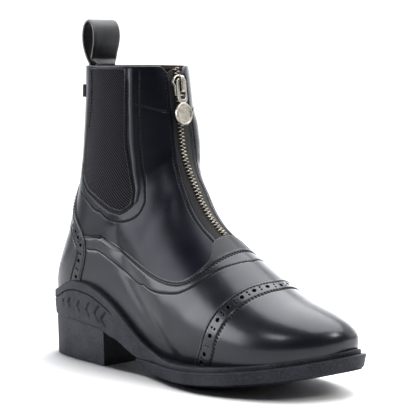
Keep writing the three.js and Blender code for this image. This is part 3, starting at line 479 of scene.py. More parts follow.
def leaf(name, body, s_rows, t_columns, keep, top, under, edge, paint, channels=(), holes=(), matte=None):
    """A sheet of leather or cloth on the last, cut along keep's zero line, with its edges rounded over.
    channels are (line, offset, depth, half width), and holes are (station, turn, radius). It notes where
    the cut rim, the raised folds, the seams and the unpolished part (matte) are, for the leather's paint:
    the rim is painted lighter, the folds get a painted highlight and the seam troughs painted shade."""
    sheet = Sheet(s_rows, t_columns, keep)
    for level in (0, 0.3 * edge, edge):
        sheet.cut(level, level == 0)

    def off_holes(points):
        near = np.full(len(points), 30.0)
        for hs, ht, radius in holes:
            near = np.minimum(near, np.linalg.norm(points - form(hs, ht), axis=1) - radius)
        return near

    if holes:
        sheet.refine(off_holes(form(*sheet.flat())) < 1.3)
        sheet.load(off_holes(form(*sheet.flat())))
        for level in (0, 0.12, 0.3):
            sheet.cut(level, level == 0)
    for line, offset, depth, half in channels:
        sheet.load(line.distance(form(*sheet.flat())) - offset)
        for level in (-half, -half / 2, 0, half / 2, half):
            sheet.cut(level)
    sheet.drop_loose()
    s, t = sheet.flat()
    base, out = form(s, t), facing(s, t)
    lift = relief(base)
    # rim: lighter along the cut edge, and a painted highlight on the raised folds; seam: painted shade in the seam
    # troughs; dull: the matte part
    highlight_shade_and_matte = {"rim": np.clip(1 - keep(s, t) / 0.6, 0, 1), "seam": np.zeros(len(s)),
            "dull": np.clip(matte(s, t), 0, 1) if matte else np.zeros(len(s))}
    upper_off = (top(s, t) if callable(top) else top) - rolled(keep(s, t), edge) + lift
    if holes:
        upper_off = upper_off - rolled(off_holes(base), 0.3)
    for line, offset, depth, half in channels:
        trough = dent(line.distance(base) - offset, half)
        upper_off = upper_off - depth * trough
        # painted shade: the seam troughs are marked here so that the paint darkens them towards black
        highlight_shade_and_matte["seam"] = np.maximum(highlight_shade_and_matte["seam"], trough * (depth > 0))
        # painted highlight: the raised folds are painted lighter through the rim mark
        highlight_shade_and_matte["rim"] = np.maximum(highlight_shade_and_matte["rim"], 0.7 * trough * (depth < 0))
    made = sheet.close(name, body, base + out * upper_off[:, None], base + out * (under + lift)[:, None], paint)
    chart = np.column_stack([t * np.median(per_turn(s, t)), base[:, 2]])
    corner_of = np.zeros(len(made.data.loops), int)
    made.data.loops.foreach_get("vertex_index", corner_of)
    layer = made.data.uv_layers.new(name="cut")
    layer.data.foreach_set("uv", chart[corner_of % len(s)].ravel())
    for title, amount in highlight_shade_and_matte.items():
        spread = made.data.attributes.new(title, "FLOAT", "POINT")
        spread.data.foreach_set("value", np.tile(amount, len(made.data.vertices) // len(s)))
    return made


def many(name, body, paint, placed):
    """One mesh from many copies of small shapes: placed lists (points, faces) in mm."""
    points, faces, start = [], [], 0
    for one_points, one_faces in placed:
        points.append(one_points)
        faces += [[k + start for k in f] for f in one_faces]
        start += len(one_points)
    mesh = bpy.data.meshes.new(name)
    mesh.from_pydata((np.vstack(points) * MM).tolist(), [], faces)
    mesh.polygons.foreach_set("use_smooth", np.ones(len(faces), bool))
    mesh.set_sharp_from_angle(angle=math.radians(55))
    mesh.materials.append(paint)
    made = bpy.data.objects.new(name, mesh)
    scene.collection.objects.link(made)
    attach(made, body)
    return made


def across(path):
    """A line over the front of the boot: an outer path from the back to the front, and its mirror."""
    return Line([(a, b) for a, b in path] + [(a, -b) for a, b in reversed(path)])


def on_both_sides(path):
    """The same line on the outer side and, run the other way, on the inner side."""
    return [Line(path), Line([(a, -b) for a, b in reversed(path)])]


def tube(path, radii, frames, sides=6):
    """A closed tube: points, their radii and (out, side) directions at each."""
    turn = np.arange(sides) * 2 * math.pi / sides
    rings = [p + r * (np.cos(turn)[:, None] * o + np.sin(turn)[:, None] * c)
             for p, r, (o, c) in zip(path, radii, frames)]
    n = len(rings)
    faces = [[i * sides + j, i * sides + (j + 1) % sides, (i + 1) * sides + (j + 1) % sides, (i + 1) * sides + j]
             for i in range(n - 1) for j in range(sides)]
    faces += [list(range(sides))[::-1], [(n - 1) * sides + j for j in range(sides)]]
    return np.vstack(rings), faces


def stitches(line, off, offset=0.0, pitch=2.5, length=1.95, thick=0.40, start=0.6, end=0.6):
    """Lock stitches along a line at a height off the last, each dipping into the leather at its ends."""
    reach = np.array([-0.5, -0.36, 0.0, 0.36, 0.5]) * length
    size = np.array([0.45, 0.9, 1.0, 0.9, 0.45]) * thick
    rise = np.array([-0.9, 0.0, 0.35, 0.0, -0.9]) * thick
    at = line.spaced(pitch, offset, start, end)
    if len(at) < 3:
        return []
    base, out = form(*at.T), facing(*at.T)
    lift = relief(base)
    ahead = np.gradient(base, axis=0)
    ahead = ahead / np.linalg.norm(ahead, axis=1, keepdims=True)
    side = np.cross(out, ahead)
    placed = []
    for p, o, a, c, h in zip(base, out, ahead, side, lift):
        path = [p + a * x + o * (off + h + y) for x, y in zip(reach, rise)]
        placed.append(tube(path, size, [(o, c)] * len(path)))
    return placed


class Wire:
    """One output in a material's nodes: arithmetic on it adds Math nodes, and node() adds any other."""

    def __init__(self, tree, socket):
        self.tree, self.socket = tree, socket

    def node(self, kind, settings=None, sockets=None, out=0):
        made = self.tree.nodes.new("ShaderNode" + kind)
        for name, value in (settings or {}).items():
            if name == "stops":
                ramp = made.color_ramp
                while len(ramp.elements) < len(value):
                    ramp.elements.new(0.5)
                for element, (place, colour) in zip(ramp.elements, value):
                    element.position = place
                    element.color = (*colour, 1) if len(colour) == 3 else colour
            else:
                setattr(made, name, value)
        for name, value in (sockets or {}).items():
            if isinstance(value, Wire):
                self.tree.links.new(value.socket, made.inputs[name])
            else:
                made.inputs[name].default_value = value
        return Wire(self.tree, made.outputs[out])

    def maths(self, operation, *values):
        return self.node("Math", {"operation": operation}, dict(enumerate(values)))

    def __add__(self, other):
        return self.maths("ADD", self, other)

    def __radd__(self, other):
        return self.maths("ADD", other, self)

    def __sub__(self, other):
        return self.maths("SUBTRACT", self, other)

    def __rsub__(self, other):
        return self.maths("SUBTRACT", other, self)

    def __mul__(self, other):
        return self.maths("MULTIPLY", self, other)

    def __rmul__(self, other):
        return self.maths("MULTIPLY", other, self)

    def __truediv__(self, other):
        return self.maths("DIVIDE", self, other)

    def __pow__(self, other):
        return self.maths("POWER", self, other)

    def between(self, low, high):
        """0 at low, 1 at high, smooth in between."""
        return self.node("MapRange", {"interpolation_type": "SMOOTHSTEP"},
                         {"Value": self, "From Min": low, "From Max": high})

    def noise(self, scale, detail=3, rough=0.55):
        return self.node("TexNoise", {}, {"Vector": self, "Scale": scale, "Detail": detail, "Roughness": rough})

    def tint(self, dark, light):
        """The colour between dark (at 0) and light (at 1)."""
        return self.node("Mix", {"data_type": "RGBA"}, {0: self, 6: (*dark, 1), 7: (*light, 1)}, out=2)

    def mix(self, under, over):
        """The colour between a wire (at 0) and a steady colour (at 1)."""
        return self.node("Mix", {"data_type": "RGBA"}, {0: self, 6: under, 7: over}, out=2)

    def bump(self, depth, under=None):
        """A normal raised by this height, from 0 to 1, times depth in metres."""
        sockets = {"Height": self, "Distance": depth, "Strength": 1.0}
        if under is not None:
            sockets["Normal"] = under
        return self.node("Bump", {}, sockets)


def finish_of(name, paint, **steady):
    """A material: steady numbers go on the shader's own sockets, and paint() returns wires for the rest."""
    made = bpy.data.materials.new(name)
    made.use_nodes = True
    tree = made.node_tree
    shader = tree.nodes["Principled BSDF"]
    for socket, value in steady.items():
        shader.inputs[socket.replace("_", " ")].default_value = value
    place = Wire(tree, tree.nodes.new("ShaderNodeTexCoord").outputs["Object"])
    for socket, wire in paint(place).items():
        tree.links.new(wire.socket, shader.inputs[socket])
    return made


def calf(dark, light, low, high):
    """Paint for polished calf: fine grain, soft waves of thickness, and patches that the polish missed. It also paints
    shade into the seam troughs, and paints the cut rim lighter with a painted highlight along the raised folds.
    """
    def paint(place):
        cloud = place.noise(26, 3)
        waves = place.noise(55, 2)
        pores = place.node("TexVoronoi", {"feature": "F1"}, {"Vector": place, "Scale": 1500})
        grain = place.noise(1300, 4, 0.65)
        hair = place.noise(5200, 2, 0.6)
        height = grain * 0.55 + pores * 0.3 + hair * 0.15
        rim, seam, dull = [place.node("Attribute", {"attribute_name": title}, out=2)
                           for title in ("rim", "seam", "dull")]
        body = cloud.between(0.3, 0.75).tint(dark, light)
        # painted shade: the leather in the seam troughs is darkened towards black
        shade_in_seams = (seam * 0.85).mix(body, (0.0012, 0.0012, 0.0016, 1))
        matte_and_seam_shade = (dull * 0.9).mix(shade_in_seams, (0.0035, 0.0035, 0.0045, 1))
        gloss = low + (high - low) * (0.6 * waves.between(0.3, 0.7) + 0.4 * grain)
        return {
            # the rim is painted lighter: a pale cut edge, and a painted highlight along the raised folds
            "Base Color": (rim * 0.8).mix(matte_and_seam_shade, (0.11, 0.11, 0.115, 1)),
            "Roughness": gloss + 0.25 * seam + 0.28 * dull,
            "Normal": height.bump(0.000065, waves.bump(0.00024)),
        }
    return paint


quarter_leather = finish_of("quarter_leather", calf((0.0038, 0.0045, 0.0078), (0.0060, 0.0068, 0.0108), 0.31, 0.40),
                            Specular_IOR_Level=0.22, Specular_Tint=(0.85, 0.88, 1, 1), Coat_Weight=0.03,
                            Coat_Roughness=0.25)
vamp_leather = finish_of("vamp_leather", calf((0.0075, 0.0085, 0.0115), (0.012, 0.013, 0.017), 0.28, 0.37),
                         Specular_IOR_Level=0.36, Specular_Tint=(0.88, 0.90, 1, 1), Coat_Weight=0.16,
                         Coat_Roughness=0.2)
cap_leather = finish_of("cap_leather", calf((0.0070, 0.0080, 0.0110), (0.010, 0.011, 0.015), 0.27, 0.34),
                        Specular_IOR_Level=0.38, Specular_Tint=(0.88, 0.90, 1, 1), Coat_Weight=0.30,
                        Coat_Roughness=0.17)


def thread_paint(place):
    twist = place.noise(3600, 2, 0.6)
    return {"Base Color": twist.between(0.3, 0.7).tint((0.0015, 0.0015, 0.002), (0.007, 0.007, 0.009)),
            "Normal": twist.bump(0.00006)}


thread = finish_of("waxed_thread", thread_paint, Roughness=0.55, Specular_IOR_Level=0.3)


def lining_paint(place):
    nap = place.noise(1800, 4, 0.6)
    cloud = place.noise(30, 3)
    return {
        "Base Color": cloud.between(0.3, 0.7).tint((0.040, 0.020, 0.018), (0.075, 0.040, 0.034)),
        "Normal": nap.bump(0.00006),
    }


lining_leather = finish_of("lining_leather", lining_paint, Roughness=0.72)

wall = 2.0
throat_width = 18.0
THROAT = [
    # station, half width as a share of throat_width
    (8.95, 0.490), (9.60, 0.478), (10.20, 0.478), (11.00, 0.517), (11.80, 0.556), (12.80, 0.556),
    (13.80, 0.540), (15.00, 0.528), (16.60, 0.541), (17.40, 0.544), (18.70, 0.530), (20.00, 0.500),
    (21.00, 0.440), (22.00, 0.400), (22.90, 0.389), (23.40, 0.440), (23.75, 0.530), (24.00, 0.680),
]
GORE = [
    # station, back turn, front turn (on the outer side; the inner side is its mirror)
    (14.13, 0.366, 0.348), (14.30, 0.390, 0.338), (14.60, 0.408, 0.331), (14.95, 0.426, 0.329),
    (15.90, 0.470, 0.337), (17.15, 0.535, 0.352), (18.15, 0.611, 0.367), (18.77, 0.662, 0.375),
    (19.35, 0.700, 0.380), (20.00, 0.708, 0.379), (20.90, 0.690, 0.372), (21.80, 0.666, 0.366),
    (22.80, 0.638, 0.358), (24.00, 0.610, 0.350),
]
collar_band = 2.4
throat_end = THROAT[0][0]


def turned(t):
    return (np.asarray(t, float) + 1) % 2 - 1


def in_gore(s, t):
    """Distance inside the gore's outline, in mm."""
    a = np.abs(turned(t))
    breadth = per_turn(s, a)
    sides = np.minimum(a - along(GORE, s, 2), along(GORE, s, 1) - a) * breadth
    ends = np.minimum((s - GORE[0][0]) * per_station(s, 0.4), collar_height - collar_band - form(s, -a)[..., 2])
    return np.minimum(sides, ends)


def off_throat(s, t):
    """Distance outside the throat's outline, in mm."""
    a = np.abs(turned(t))
    beside_zip = a * per_turn(s, np.full(np.shape(s), 0.02)) - along(THROAT, s) * throat_width
    return np.maximum(beside_zip, (throat_end - s) * per_station(s, 0.02))


def over_bed(s, t):
    p = form(s, t)
    return p[..., 2] - bed(share_of(p[..., 0])) - 0.3


def quarter_cut(s, t):
    return np.minimum.reduce([off_throat(s, t), -in_gore(s, t), over_bed(s, t), (TOP - s) * per_station(s, 0.5)])


BORDER = [
    # station, turn of the stitched outer line of the leather border round the gore
    (23.52, -0.259), (21.36, -0.277), (19.06, -0.284), (16.87, -0.272), (14.92, -0.260), (13.46, -0.282),
    (12.98, -0.319), (12.97, -0.359), (13.31, -0.396), (13.70, -0.417), (14.60, -0.457), (16.05, -0.514),
    (17.45, -0.604), (18.35, -0.690),
]
RIDGE = [
    # station, turn of the border's raised front fold
    (23.65, -0.311), (21.46, -0.325), (19.34, -0.332), (17.18, -0.316), (15.06, -0.301), (14.30, -0.308),
    (13.88, -0.322),
]
FACING = [(20.73, -0.103), (20.95, -0.173), (21.29, -0.254), (21.42, -0.300)]
BACK_STRIP = [(23.65, -0.620), (22.42, -0.617), (21.56, -0.630), (20.81, -0.655)]
gore_round = [(row[0], -row[2]) for row in reversed(GORE[:-1])] + [(row[0], -row[1]) for row in GORE[1:9]]
border_seams, ridge_folds, facing_seams = on_both_sides(BORDER), on_both_sides(RIDGE), on_both_sides(FACING)
gore_seams = on_both_sides(gore_round)
zip_edge = [(s, -(share * throat_width + 0.0) / per_turn(s, 0.02)) for s, share in THROAT[:-3]]
zip_seams = on_both_sides([(float(s), float(t)) for s, t in zip_edge])

strip_seams = on_both_sides(BACK_STRIP)
quarter_channels = [(line, 0.0, 0.42, 1.0) for line in border_seams + facing_seams + strip_seams]
quarter_channels += [(line, 0.0, -0.95, 2.0) for line in ridge_folds]
quarter_channels += [(line, 2.4, 0.6, 1.8) for line in gore_seams]
quarter_channels += [(line, 2.9, 0.42, 0.95) for line in zip_seams]

half_turns = np.linspace(0.0, 2.0, 235)
quarters = leaf("quarters", "boot", stations(7.6, TOP, 1.35, -0.5), half_turns, quarter_cut,
                0.0, -wall, 0.7, (quarter_leather, lining_leather), quarter_channels)
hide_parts("upper")

seams = []
for line in border_seams + facing_seams + strip_seams:
    seams += stitches(line, -0.32)
for line in gore_seams:
    seams += stitches(line, -0.34, 1.7) + stitches(line, -0.34, 3.1)
for line in zip_seams:
    seams += stitches(line, -0.32, 2.9)
quarter_thread = many("quarter_stitches", "boot", thread, seams)

# Vamp
# One piece from the toe back under the counter, laid over the quarters; its top edge rises in a
# curve over the zip's foot and carries two close rows of stitches and a third further in.
VAMP = [
    # turn, station
    (0.00, 9.15), (0.09, 9.13), (0.125, 9.02), (0.15, 8.80), (0.185, 8.64), (0.24, 8.70), (0.30, 8.95),
    (0.35, 9.38), (0.385, 9.92), (0.415, 10.50), (0.448, 11.28), (0.475, 12.05), (0.49, 12.85), (0.497, 13.70),
    (0.515, 14.50), (0.555, 15.20), (0.65, 16.30), (0.80, 17.00), (1.00, 17.30),
]
vamp_top = 0.7


def vamp_cut(s, t):
    edge = measured(lambda a, b: along(VAMP, np.abs(turned(b))) - a, s, t)
    return np.minimum(edge, over_bed(s, t))


VAMP_ROWS = [
    # station, turn of the two close rows along the vamp's edge
    (15.60, -0.580), (15.15, -0.546), (14.47, -0.507), (13.69, -0.494), (12.78, -0.490), (11.97, -0.477), (11.19, -0.448),
    (10.43, -0.415), (9.84, -0.384), (9.31, -0.349), (8.89, -0.301), (8.60, -0.241), (8.43, -0.174),
    (8.31, -0.107), (8.24, -0.033),
]
VAMP_THIRD = [
    # station, turn of the single row further in
    (14.27, -0.539), (13.78, -0.520), (13.17, -0.516), (12.24, -0.516), (11.60, -0.512), (11.05, -0.503),
    (10.48, -0.479), (9.78, -0.431), (9.12, -0.381), (8.60, -0.316), (8.23, -0.243), (7.96, -0.168),
    (7.72, -0.095), (7.55, -0.013),
]
CAP = [
    # turn, station of the toe cap's rear edge
    (0.00, 6.33), (0.08, 6.42), (0.15, 6.57), (0.23, 6.76), (0.31, 7.04), (0.40, 7.32), (0.49, 7.55),
    (0.57, 7.76), (0.74, 8.08), (1.00, 8.30),
]
COUNTER = [
    # station, turn of the counter's front edge
    (12.90, 0.760), (13.15, 0.690), (13.50, 0.625), (13.80, 0.575), (14.20, 0.548), (14.80, 0.546),
    (15.30, 0.560), (15.80, 0.585), (16.30, 0.620), (16.80, 0.665), (17.30, 0.715), (17.90, 0.770),
    (18.50, 0.820), (19.00, 0.865), (19.40, 0.920),
]


def cap_cut(s, t):
    edge = measured(lambda a, b: along(CAP, np.abs(turned(b))) - a, s, t)
    return np.minimum(edge, over_bed(s, t))


def counter_cut(s, t):
    edge = measured(lambda a, b: np.abs(turned(b)) - along(COUNTER, a), s, t)
    top = (COUNTER[-1][0] + 0.22 - s) * per_station(s, 0.95)
    low = form(s, t)[..., 2] - 42
    return np.minimum.reduce([edge, top, low])


def vamp_face(s, t):
    """The vamp is thinned where the cap and the counter cover it."""
    covered = np.maximum(cap_cut(s, t), counter_cut(s, t))
    return vamp_top - 1.3 * np.clip((covered - 0.8) / 1.0, 0, 1)


vamp_rows, vamp_third = across(VAMP_ROWS), across(VAMP_THIRD)
vamp_channels = [(vamp_rows, -1.5, 0.5, 1.9), (vamp_third, 0.0, 0.42, 1.0)]


def tongue(s, t):
    """The vamp's end above its rows at the front of the boot is left matte."""
    above = vamp_rows.distance(form(s, t)) - 0.6
    return np.minimum(above / 0.5, (0.26 - np.abs(turned(t))) / 0.03)



vamp = leaf("vamp", "boot", stations(0.0, 17.4, 1.3, -0.45), np.linspace(-1, 1, 201), vamp_cut,
            vamp_face, -wall + 0.1, 0.45, (vamp_leather, lining_leather), vamp_channels, matte=tongue)
vamp_seams = stitches(vamp_rows, vamp_top - 0.3, -0.8) + stitches(vamp_rows, vamp_top - 0.3, -2.2)
vamp_seams += stitches(vamp_third, vamp_top - 0.3)
many("vamp_stitches", "boot", thread, vamp_seams)

# Toe cap
# A polished cap over the vamp's toe. Its rear edge is stitched, and the band in front of the edge
# is punched with large holes and pairs of small ones, then closed by two more rows of stitches.
CAP_FRONT = [
    # turn, station
    (0.00, 5.80), (0.046, 5.82), (0.128, 5.95), (0.21, 6.15), (0.304, 6.36), (0.388, 6.61), (0.46, 6.81),
    (0.532, 6.98), (0.669, 7.24), (1.00, 7.5),
]
cap_top = 1.35


def small_between(large, aside):
    """Two small holes, one each side of the row, midway between each two large ones."""
    line = Line(large)
    middle_path = [((a[0] + b[0]) / 2, (a[1] + b[1]) / 2) for a, b in zip(large[:-1], large[1:])]
    found = []
    for a, b in middle_path:
        near = int(np.argmin(((line.points - form(a, b)) ** 2).sum(1)))
        for offset in (-aside, aside):
            found.append(tuple(line.beside(offset)[near]))
    return found


CAP_HOLES = [
    # station, turn of the large holes in the cap's band
    (7.60, -0.628), (7.38, -0.546), (7.14, -0.465), (6.94, -0.381), (6.73, -0.305), (6.47, -0.225), (6.31, -0.153),
    (6.15, -0.079), (6.02, 0.0),
]
cap_large = CAP_HOLES + [(a, -b) for a, b in reversed(CAP_HOLES[:-1])]
cap_small = small_between(cap_large, 1.25)
cap_holes = [(a, b, 1.35) for a, b in cap_large] + [(a, b, 0.62) for a, b in cap_small]
cap_rear = Line([(b, -a) for a, b in reversed(CAP[:-1])] + [(b, a) for a, b in CAP[1:-1]])
cap_front = Line([(b, -a) for a, b in reversed(CAP_FRONT[:-1])] + [(b, a) for a, b in CAP_FRONT[1:-1]])


cap_channels = [(cap_rear, -1.6, 0.42, 0.95), (cap_front, 0.0, 0.5, 1.7)]
toe_cap = leaf("toe_cap_leather", "boot", stations(0.0, 8.3, 1.1, -0.3), np.linspace(-1, 1, 201), cap_cut,
               cap_top, 0.0, 0.45, (cap_leather,), cap_channels, cap_holes)
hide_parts("toe_cap")
cap_seams = stitches(cap_rear, cap_top - 0.3, -1.6)
cap_seams += stitches(cap_front, cap_top - 0.3, 0.7) + stitches(cap_front, cap_top - 0.3, -0.7)
many("cap_stitches", "boot", thread, cap_seams)

# Counter
# The stiff heel cover, its curved front edge stitched and punched like the cap's.
counter_top = 1.5
COUNTER_INNER = [
    # station, turn of the row behind the punched band
    (17.23, -0.764), (16.29, -0.667), (15.23, -0.596), (14.67, -0.581), (14.35, -0.596), (14.10, -0.629),
    (13.95, -0.653),
]
counter_edge = [(a, -b) for a, b in COUNTER[2:-2]][::-1]
counter_edges, counter_rows = on_both_sides(counter_edge), on_both_sides(COUNTER_INNER)
COUNTER_HOLES = [(13.80, -0.622), (14.22, -0.580), (14.80, -0.563), (15.42, -0.585), (16.05, -0.625), (16.72, -0.685)]
counter_holes = []
for flip in (1, -1):
    large = [(a, flip * b) for a, b in COUNTER_HOLES]
    counter_holes += [(a, b, 1.3) for a, b in large] + [(a, b, 0.65) for a, b in small_between(large, 1.05)]


counter = leaf("counter_leather", "boot", stations(12.7, 19.9, 1.0, -0.9), np.linspace(0.52, 1.48, 150), counter_cut,
               counter_top, 0.0, 0.45, (vamp_leather,),
               [(line, 0.0, 0.42, 1.0) for line in counter_rows], counter_holes)
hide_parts("counter")
counter_seams = []
for line, inward in zip(counter_edges, (-1, -1)):
    counter_seams += stitches(line, counter_top - 0.1, inward * 1.1)
for line in counter_rows:
    counter_seams += stitches(line, counter_top - 0.2)
many("counter_stitches", "boot", thread, counter_seams)

# Elastic gores
# Two stretch panels of charcoal twill-faced elastic behind cut-outs in the shaft.
def elastic_paint(place):
    chart = place.node("UVMap", {"uv_map": "cut"})
    twill = chart.node("TexWave", {"wave_type": "BANDS", "bands_direction": "DIAGONAL"},
                       {"Vector": chart, "Scale": 0.27, "Distortion": 0.25, "Detail": 1.0, "Detail Scale": 2.0}, out=1)
    ribs = chart.node("TexWave", {"wave_type": "BANDS", "bands_direction": "X"},
                      {"Vector": chart, "Scale": 0.9, "Distortion": 0.0}, out=1)
    fuzz = place.noise(2600, 3, 0.7)
    cloth = twill * 0.8 + ribs * 0.2
    return {
        "Base Color": (cloth * 0.8 + fuzz * 0.2).between(0.25, 0.85).tint((0.0010, 0.0010, 0.0016), (0.036, 0.035, 0.044)),
        "Normal": (cloth * 0.8 + fuzz * 0.2).bump(0.00030),
    }


gore_cloth = finish_of("gore_cloth", elastic_paint, Roughness=0.9, Specular_IOR_Level=0.1, Sheen_Weight=0.12,
                       Sheen_Roughness=0.4)
gore_depth, gore_thickness, gore_tuck = 0.9, 1.1, 0.0
for side, node in ((-1, "gore_outer"), (1, "gore_inner")):
    columns = side * np.linspace(0.32, 0.72, 60)
    gore = leaf(node + "_elastic", "boot", stations(13.9, TOP, 1.3, -0.45), np.sort(columns),
                lambda s, t: in_gore(s, t) + gore_tuck, -gore_depth, -gore_depth - gore_thickness, 0.2,
                (gore_cloth,))
    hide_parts(node)

# Zip
# Two woven tapes behind the throat carry cast metal teeth in two staggered rows. They close with a
# slider whose bridge holds the pull: a slotted frame, a neck and a plain disc with a raised rim.
def tape_paint(place):
    chart = place.node("UVMap", {"uv_map": "cut"})
    weft = chart.node("TexWave", {"wave_type": "BANDS", "bands_direction": "Y"}, {"Vector": chart, "Scale": 0.42}, out=1)
    warp = chart.node("TexWave", {"wave_type": "BANDS", "bands_direction": "X"}, {"Vector": chart, "Scale": 0.42}, out=1)
    fuzz = place.noise(3000, 3, 0.7)
    weave = weft * warp
    return {
        "Base Color": (weave * 0.6 + fuzz * 0.4).tint((0.002, 0.002, 0.003), (0.015, 0.015, 0.018)),
        "Normal": (weave * 0.7 + fuzz * 0.3).bump(0.00018),
    }


def cast_metal(dark, light, hollows=0.00003):
    """Paint for a cast zinc part: soft tarnish, fine scratches, and blackened recesses."""
    def paint(place):
        tarnish = place.noise(170, 3, 0.55)
        scratch = place.noise(2400, 3, 0.6)
        sunk = place.node("Attribute", {"attribute_name": "sunk"}, out=2)
        return {
            "Base Color": (sunk * 0.93).mix(tarnish.between(0.3, 0.7).tint(dark, light), (0.010, 0.009, 0.008, 1)),
            "Roughness": 0.30 + 0.16 * scratch + 0.2 * sunk,
            "Normal": (tarnish * 0.6 + scratch * 0.4).bump(hollows),
        }
    return paint


tape_cloth = finish_of("zip_tape_cloth", tape_paint, Roughness=0.88, Sheen_Weight=0.15)
zip_silver = finish_of("antique_silver", cast_metal((0.36, 0.34, 0.30), (0.56, 0.535, 0.48)), Metallic=1.0)
tooth_metal = finish_of("tooth_metal", cast_metal((0.15, 0.135, 0.115), (0.36, 0.335, 0.29)), Metallic=1.0)
tape_face, tape_thick, half_gap = -1.0, 0.9, 0.15
zip_top, fold = 23.86, 0.06
for side, node in ((-1, "zip_tape_outer"), (1, "zip_tape_inner")):
    def tape_cut(s, t, side=side):
        beside = side * turned(t) * per_turn(s, np.full(np.shape(s), 0.02)) - half_gap
        ends = np.minimum(s - throat_end - 0.12, zip_top - fold * beside - s) * per_station(s, 0.02)
        return np.minimum.reduce([beside, -off_throat(s, t) - 0.3, ends])
    tape = leaf(node.replace("tape", "ribbon"), "boot", stations(8.9, TOP, 1.2, 0.0),
                np.sort(side * np.linspace(-0.01, 0.16, 26)), tape_cut, tape_face, tape_face - tape_thick, 0.2,
                (tape_cloth,))
    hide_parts(node)

slider_low, slider_high = (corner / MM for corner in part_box("zip_slider"))
zip_line = Line([(float(s), 0.0) for s in np.linspace(throat_end + 0.2, 21.75, 40)], 700)
tooth_pitch, tooth_length, tooth_thick, tooth_rise = 2.6, 2.95, 1.1, 1.75


def tooth(place, ahead, out, side):
    """One cast tooth: a bar across the zip with a rounded head that reaches past the middle."""
    profile = [(-0.5, 0.0), (-0.5, 0.62), (-0.34, 0.92), (0.0, 1.0), (0.34, 0.92), (0.5, 0.62), (0.5, 0.0)]
    steps = [(0.0, 0.62, 0.75), (0.14, 0.96, 0.95), (0.6, 1.0, 1.0), (0.86, 0.94, 0.96), (1.0, 0.6, 0.7)]
    outward = np.cross(ahead, out)
    points = []
    for share, wide, high in steps:
        centre = place + side * outward * (2.55 - share * tooth_length)
        points += [centre + ahead * a * tooth_thick * wide + out * (tape_face - 0.1 + b * tooth_rise * high)
                   for a, b in profile]
    n, m = len(profile), len(steps)
    faces = [[i * n + j, i * n + (j + 1) % n, (i + 1) * n + (j + 1) % n, (i + 1) * n + j]
             for i in range(m - 1) for j in range(n)]
    faces += [list(range(n))[::-1], [(m - 1) * n + j for j in range(n)]]
    if side > 0:
        faces = [f[::-1] for f in faces]
    return np.array(points), faces


above_slider = Line([(float(s), 0.0) for s in np.linspace(23.3, 23.84, 12)], 200)
teeth = []
for side, run, start in ((-1, zip_line, 1.0), (1, zip_line, 2.3), (-1, above_slider, 0.2), (1, above_slider, 1.5)):
    places = run.spaced(tooth_pitch, start=start)
    base, out = form(*places.T), facing(*places.T)
    ahead = np.gradient(base, axis=0)
    ahead = ahead / np.linalg.norm(ahead, axis=1, keepdims=True)
    teeth += [tooth(p, a, o, side) for p, a, o in zip(base, ahead, out)]
zip_teeth = many("zip_teeth", "boot", tooth_metal, teeth)
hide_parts("zip_chain")


def struck(name, body, place, low, high, pitch, keep, top, under, edge, paint, sunk):
    """A cast plate in its own flat frame: cut along keep's zero line, both faces rounded at the edge. sunk
    says where its front is blackened."""
    rows = [np.linspace(a, b, int((b - a) / pitch) + 1) for a, b in zip(low, high)]
    sheet = Sheet(rows[0], rows[1], keep)
    for level in (0, 0.12 * edge, 0.4 * edge, edge):
        sheet.cut(level, level == 0)
    sheet.drop_loose()
    a, b = sheet.flat()
    drop = rolled(keep(a, b), edge)
    origin, across_axis, up_axis, out_axis = place
    flat = origin + np.outer(a, across_axis) + np.outer(b, up_axis)
    made = sheet.close(name, body, flat + np.outer(top(a, b) - drop, out_axis),
                       flat + np.outer(under(a, b) + drop, out_axis), (paint,))
    black = made.data.attributes.new("sunk", "FLOAT", "POINT")
    black.data.foreach_set("value", np.tile(np.clip(sunk(a, b), 0, 1), len(made.data.vertices) // len(a)))
    return made


def brick(a, b, low, high, r=0.0):
    """Distance inside a rectangle with rounded corners."""
    mid, half = (np.array(low) + high) / 2, (np.array(high) - low) / 2 - r
    dx, dy = np.abs(a - mid[0]) - half[0], np.abs(b - mid[1]) - half[1]
    return r - np.hypot(np.maximum(dx, 0), np.maximum(dy, 0)) - np.minimum(np.maximum(dx, dy), 0)


slider_length, slider_width, slider_tail, slider_thick = 14.5, 12.5, 8.4, 2.6
bridge_length, bridge_width, bridge_rise, bridge_bar = 11.5, 3.0, 3.6, 1.3
zip_up = np.array([-0.11844, 0.0, 0.99296])
zip_out = np.array([0.99296, 0.0, 0.11844])
zip_across = np.array([0.0, 1.0, 0.0])
hinge_place = np.array([81.558, 0.0, 202.604])
pull_bar, pull_play = 0.75, 0.3
bridge_top = slider_length / 2 - 0.6
hinge_up = bridge_top - bridge_bar - pull_play - 1.42 * pull_bar
hinge_out = slider_thick + (bridge_rise - bridge_bar) / 2
slider_origin = hinge_place - zip_up * hinge_up - zip_out * hinge_out
slider_frame = (slider_origin, zip_across, zip_up, zip_out)


def slider_cut(a, b):
    half = slider_length / 2
    wide = np.interp(b, [-half, -0.1 * half, 0.3 * half], [slider_tail / 2, slider_tail / 2 + 0.3, slider_width / 2])
    head = slider_width / 2 + 0.15 - np.hypot(a, np.maximum(b - half + slider_width / 2 - 0.2, 0))
    return np.minimum.reduce([wide - np.abs(a), half + b, head])


def slider_face(a, b):
    """The front plate is sunk inside a raised rim."""
    return slider_thick - 0.75 * np.clip((slider_cut(a, b) - 0.9) / 0.45, 0, 1)


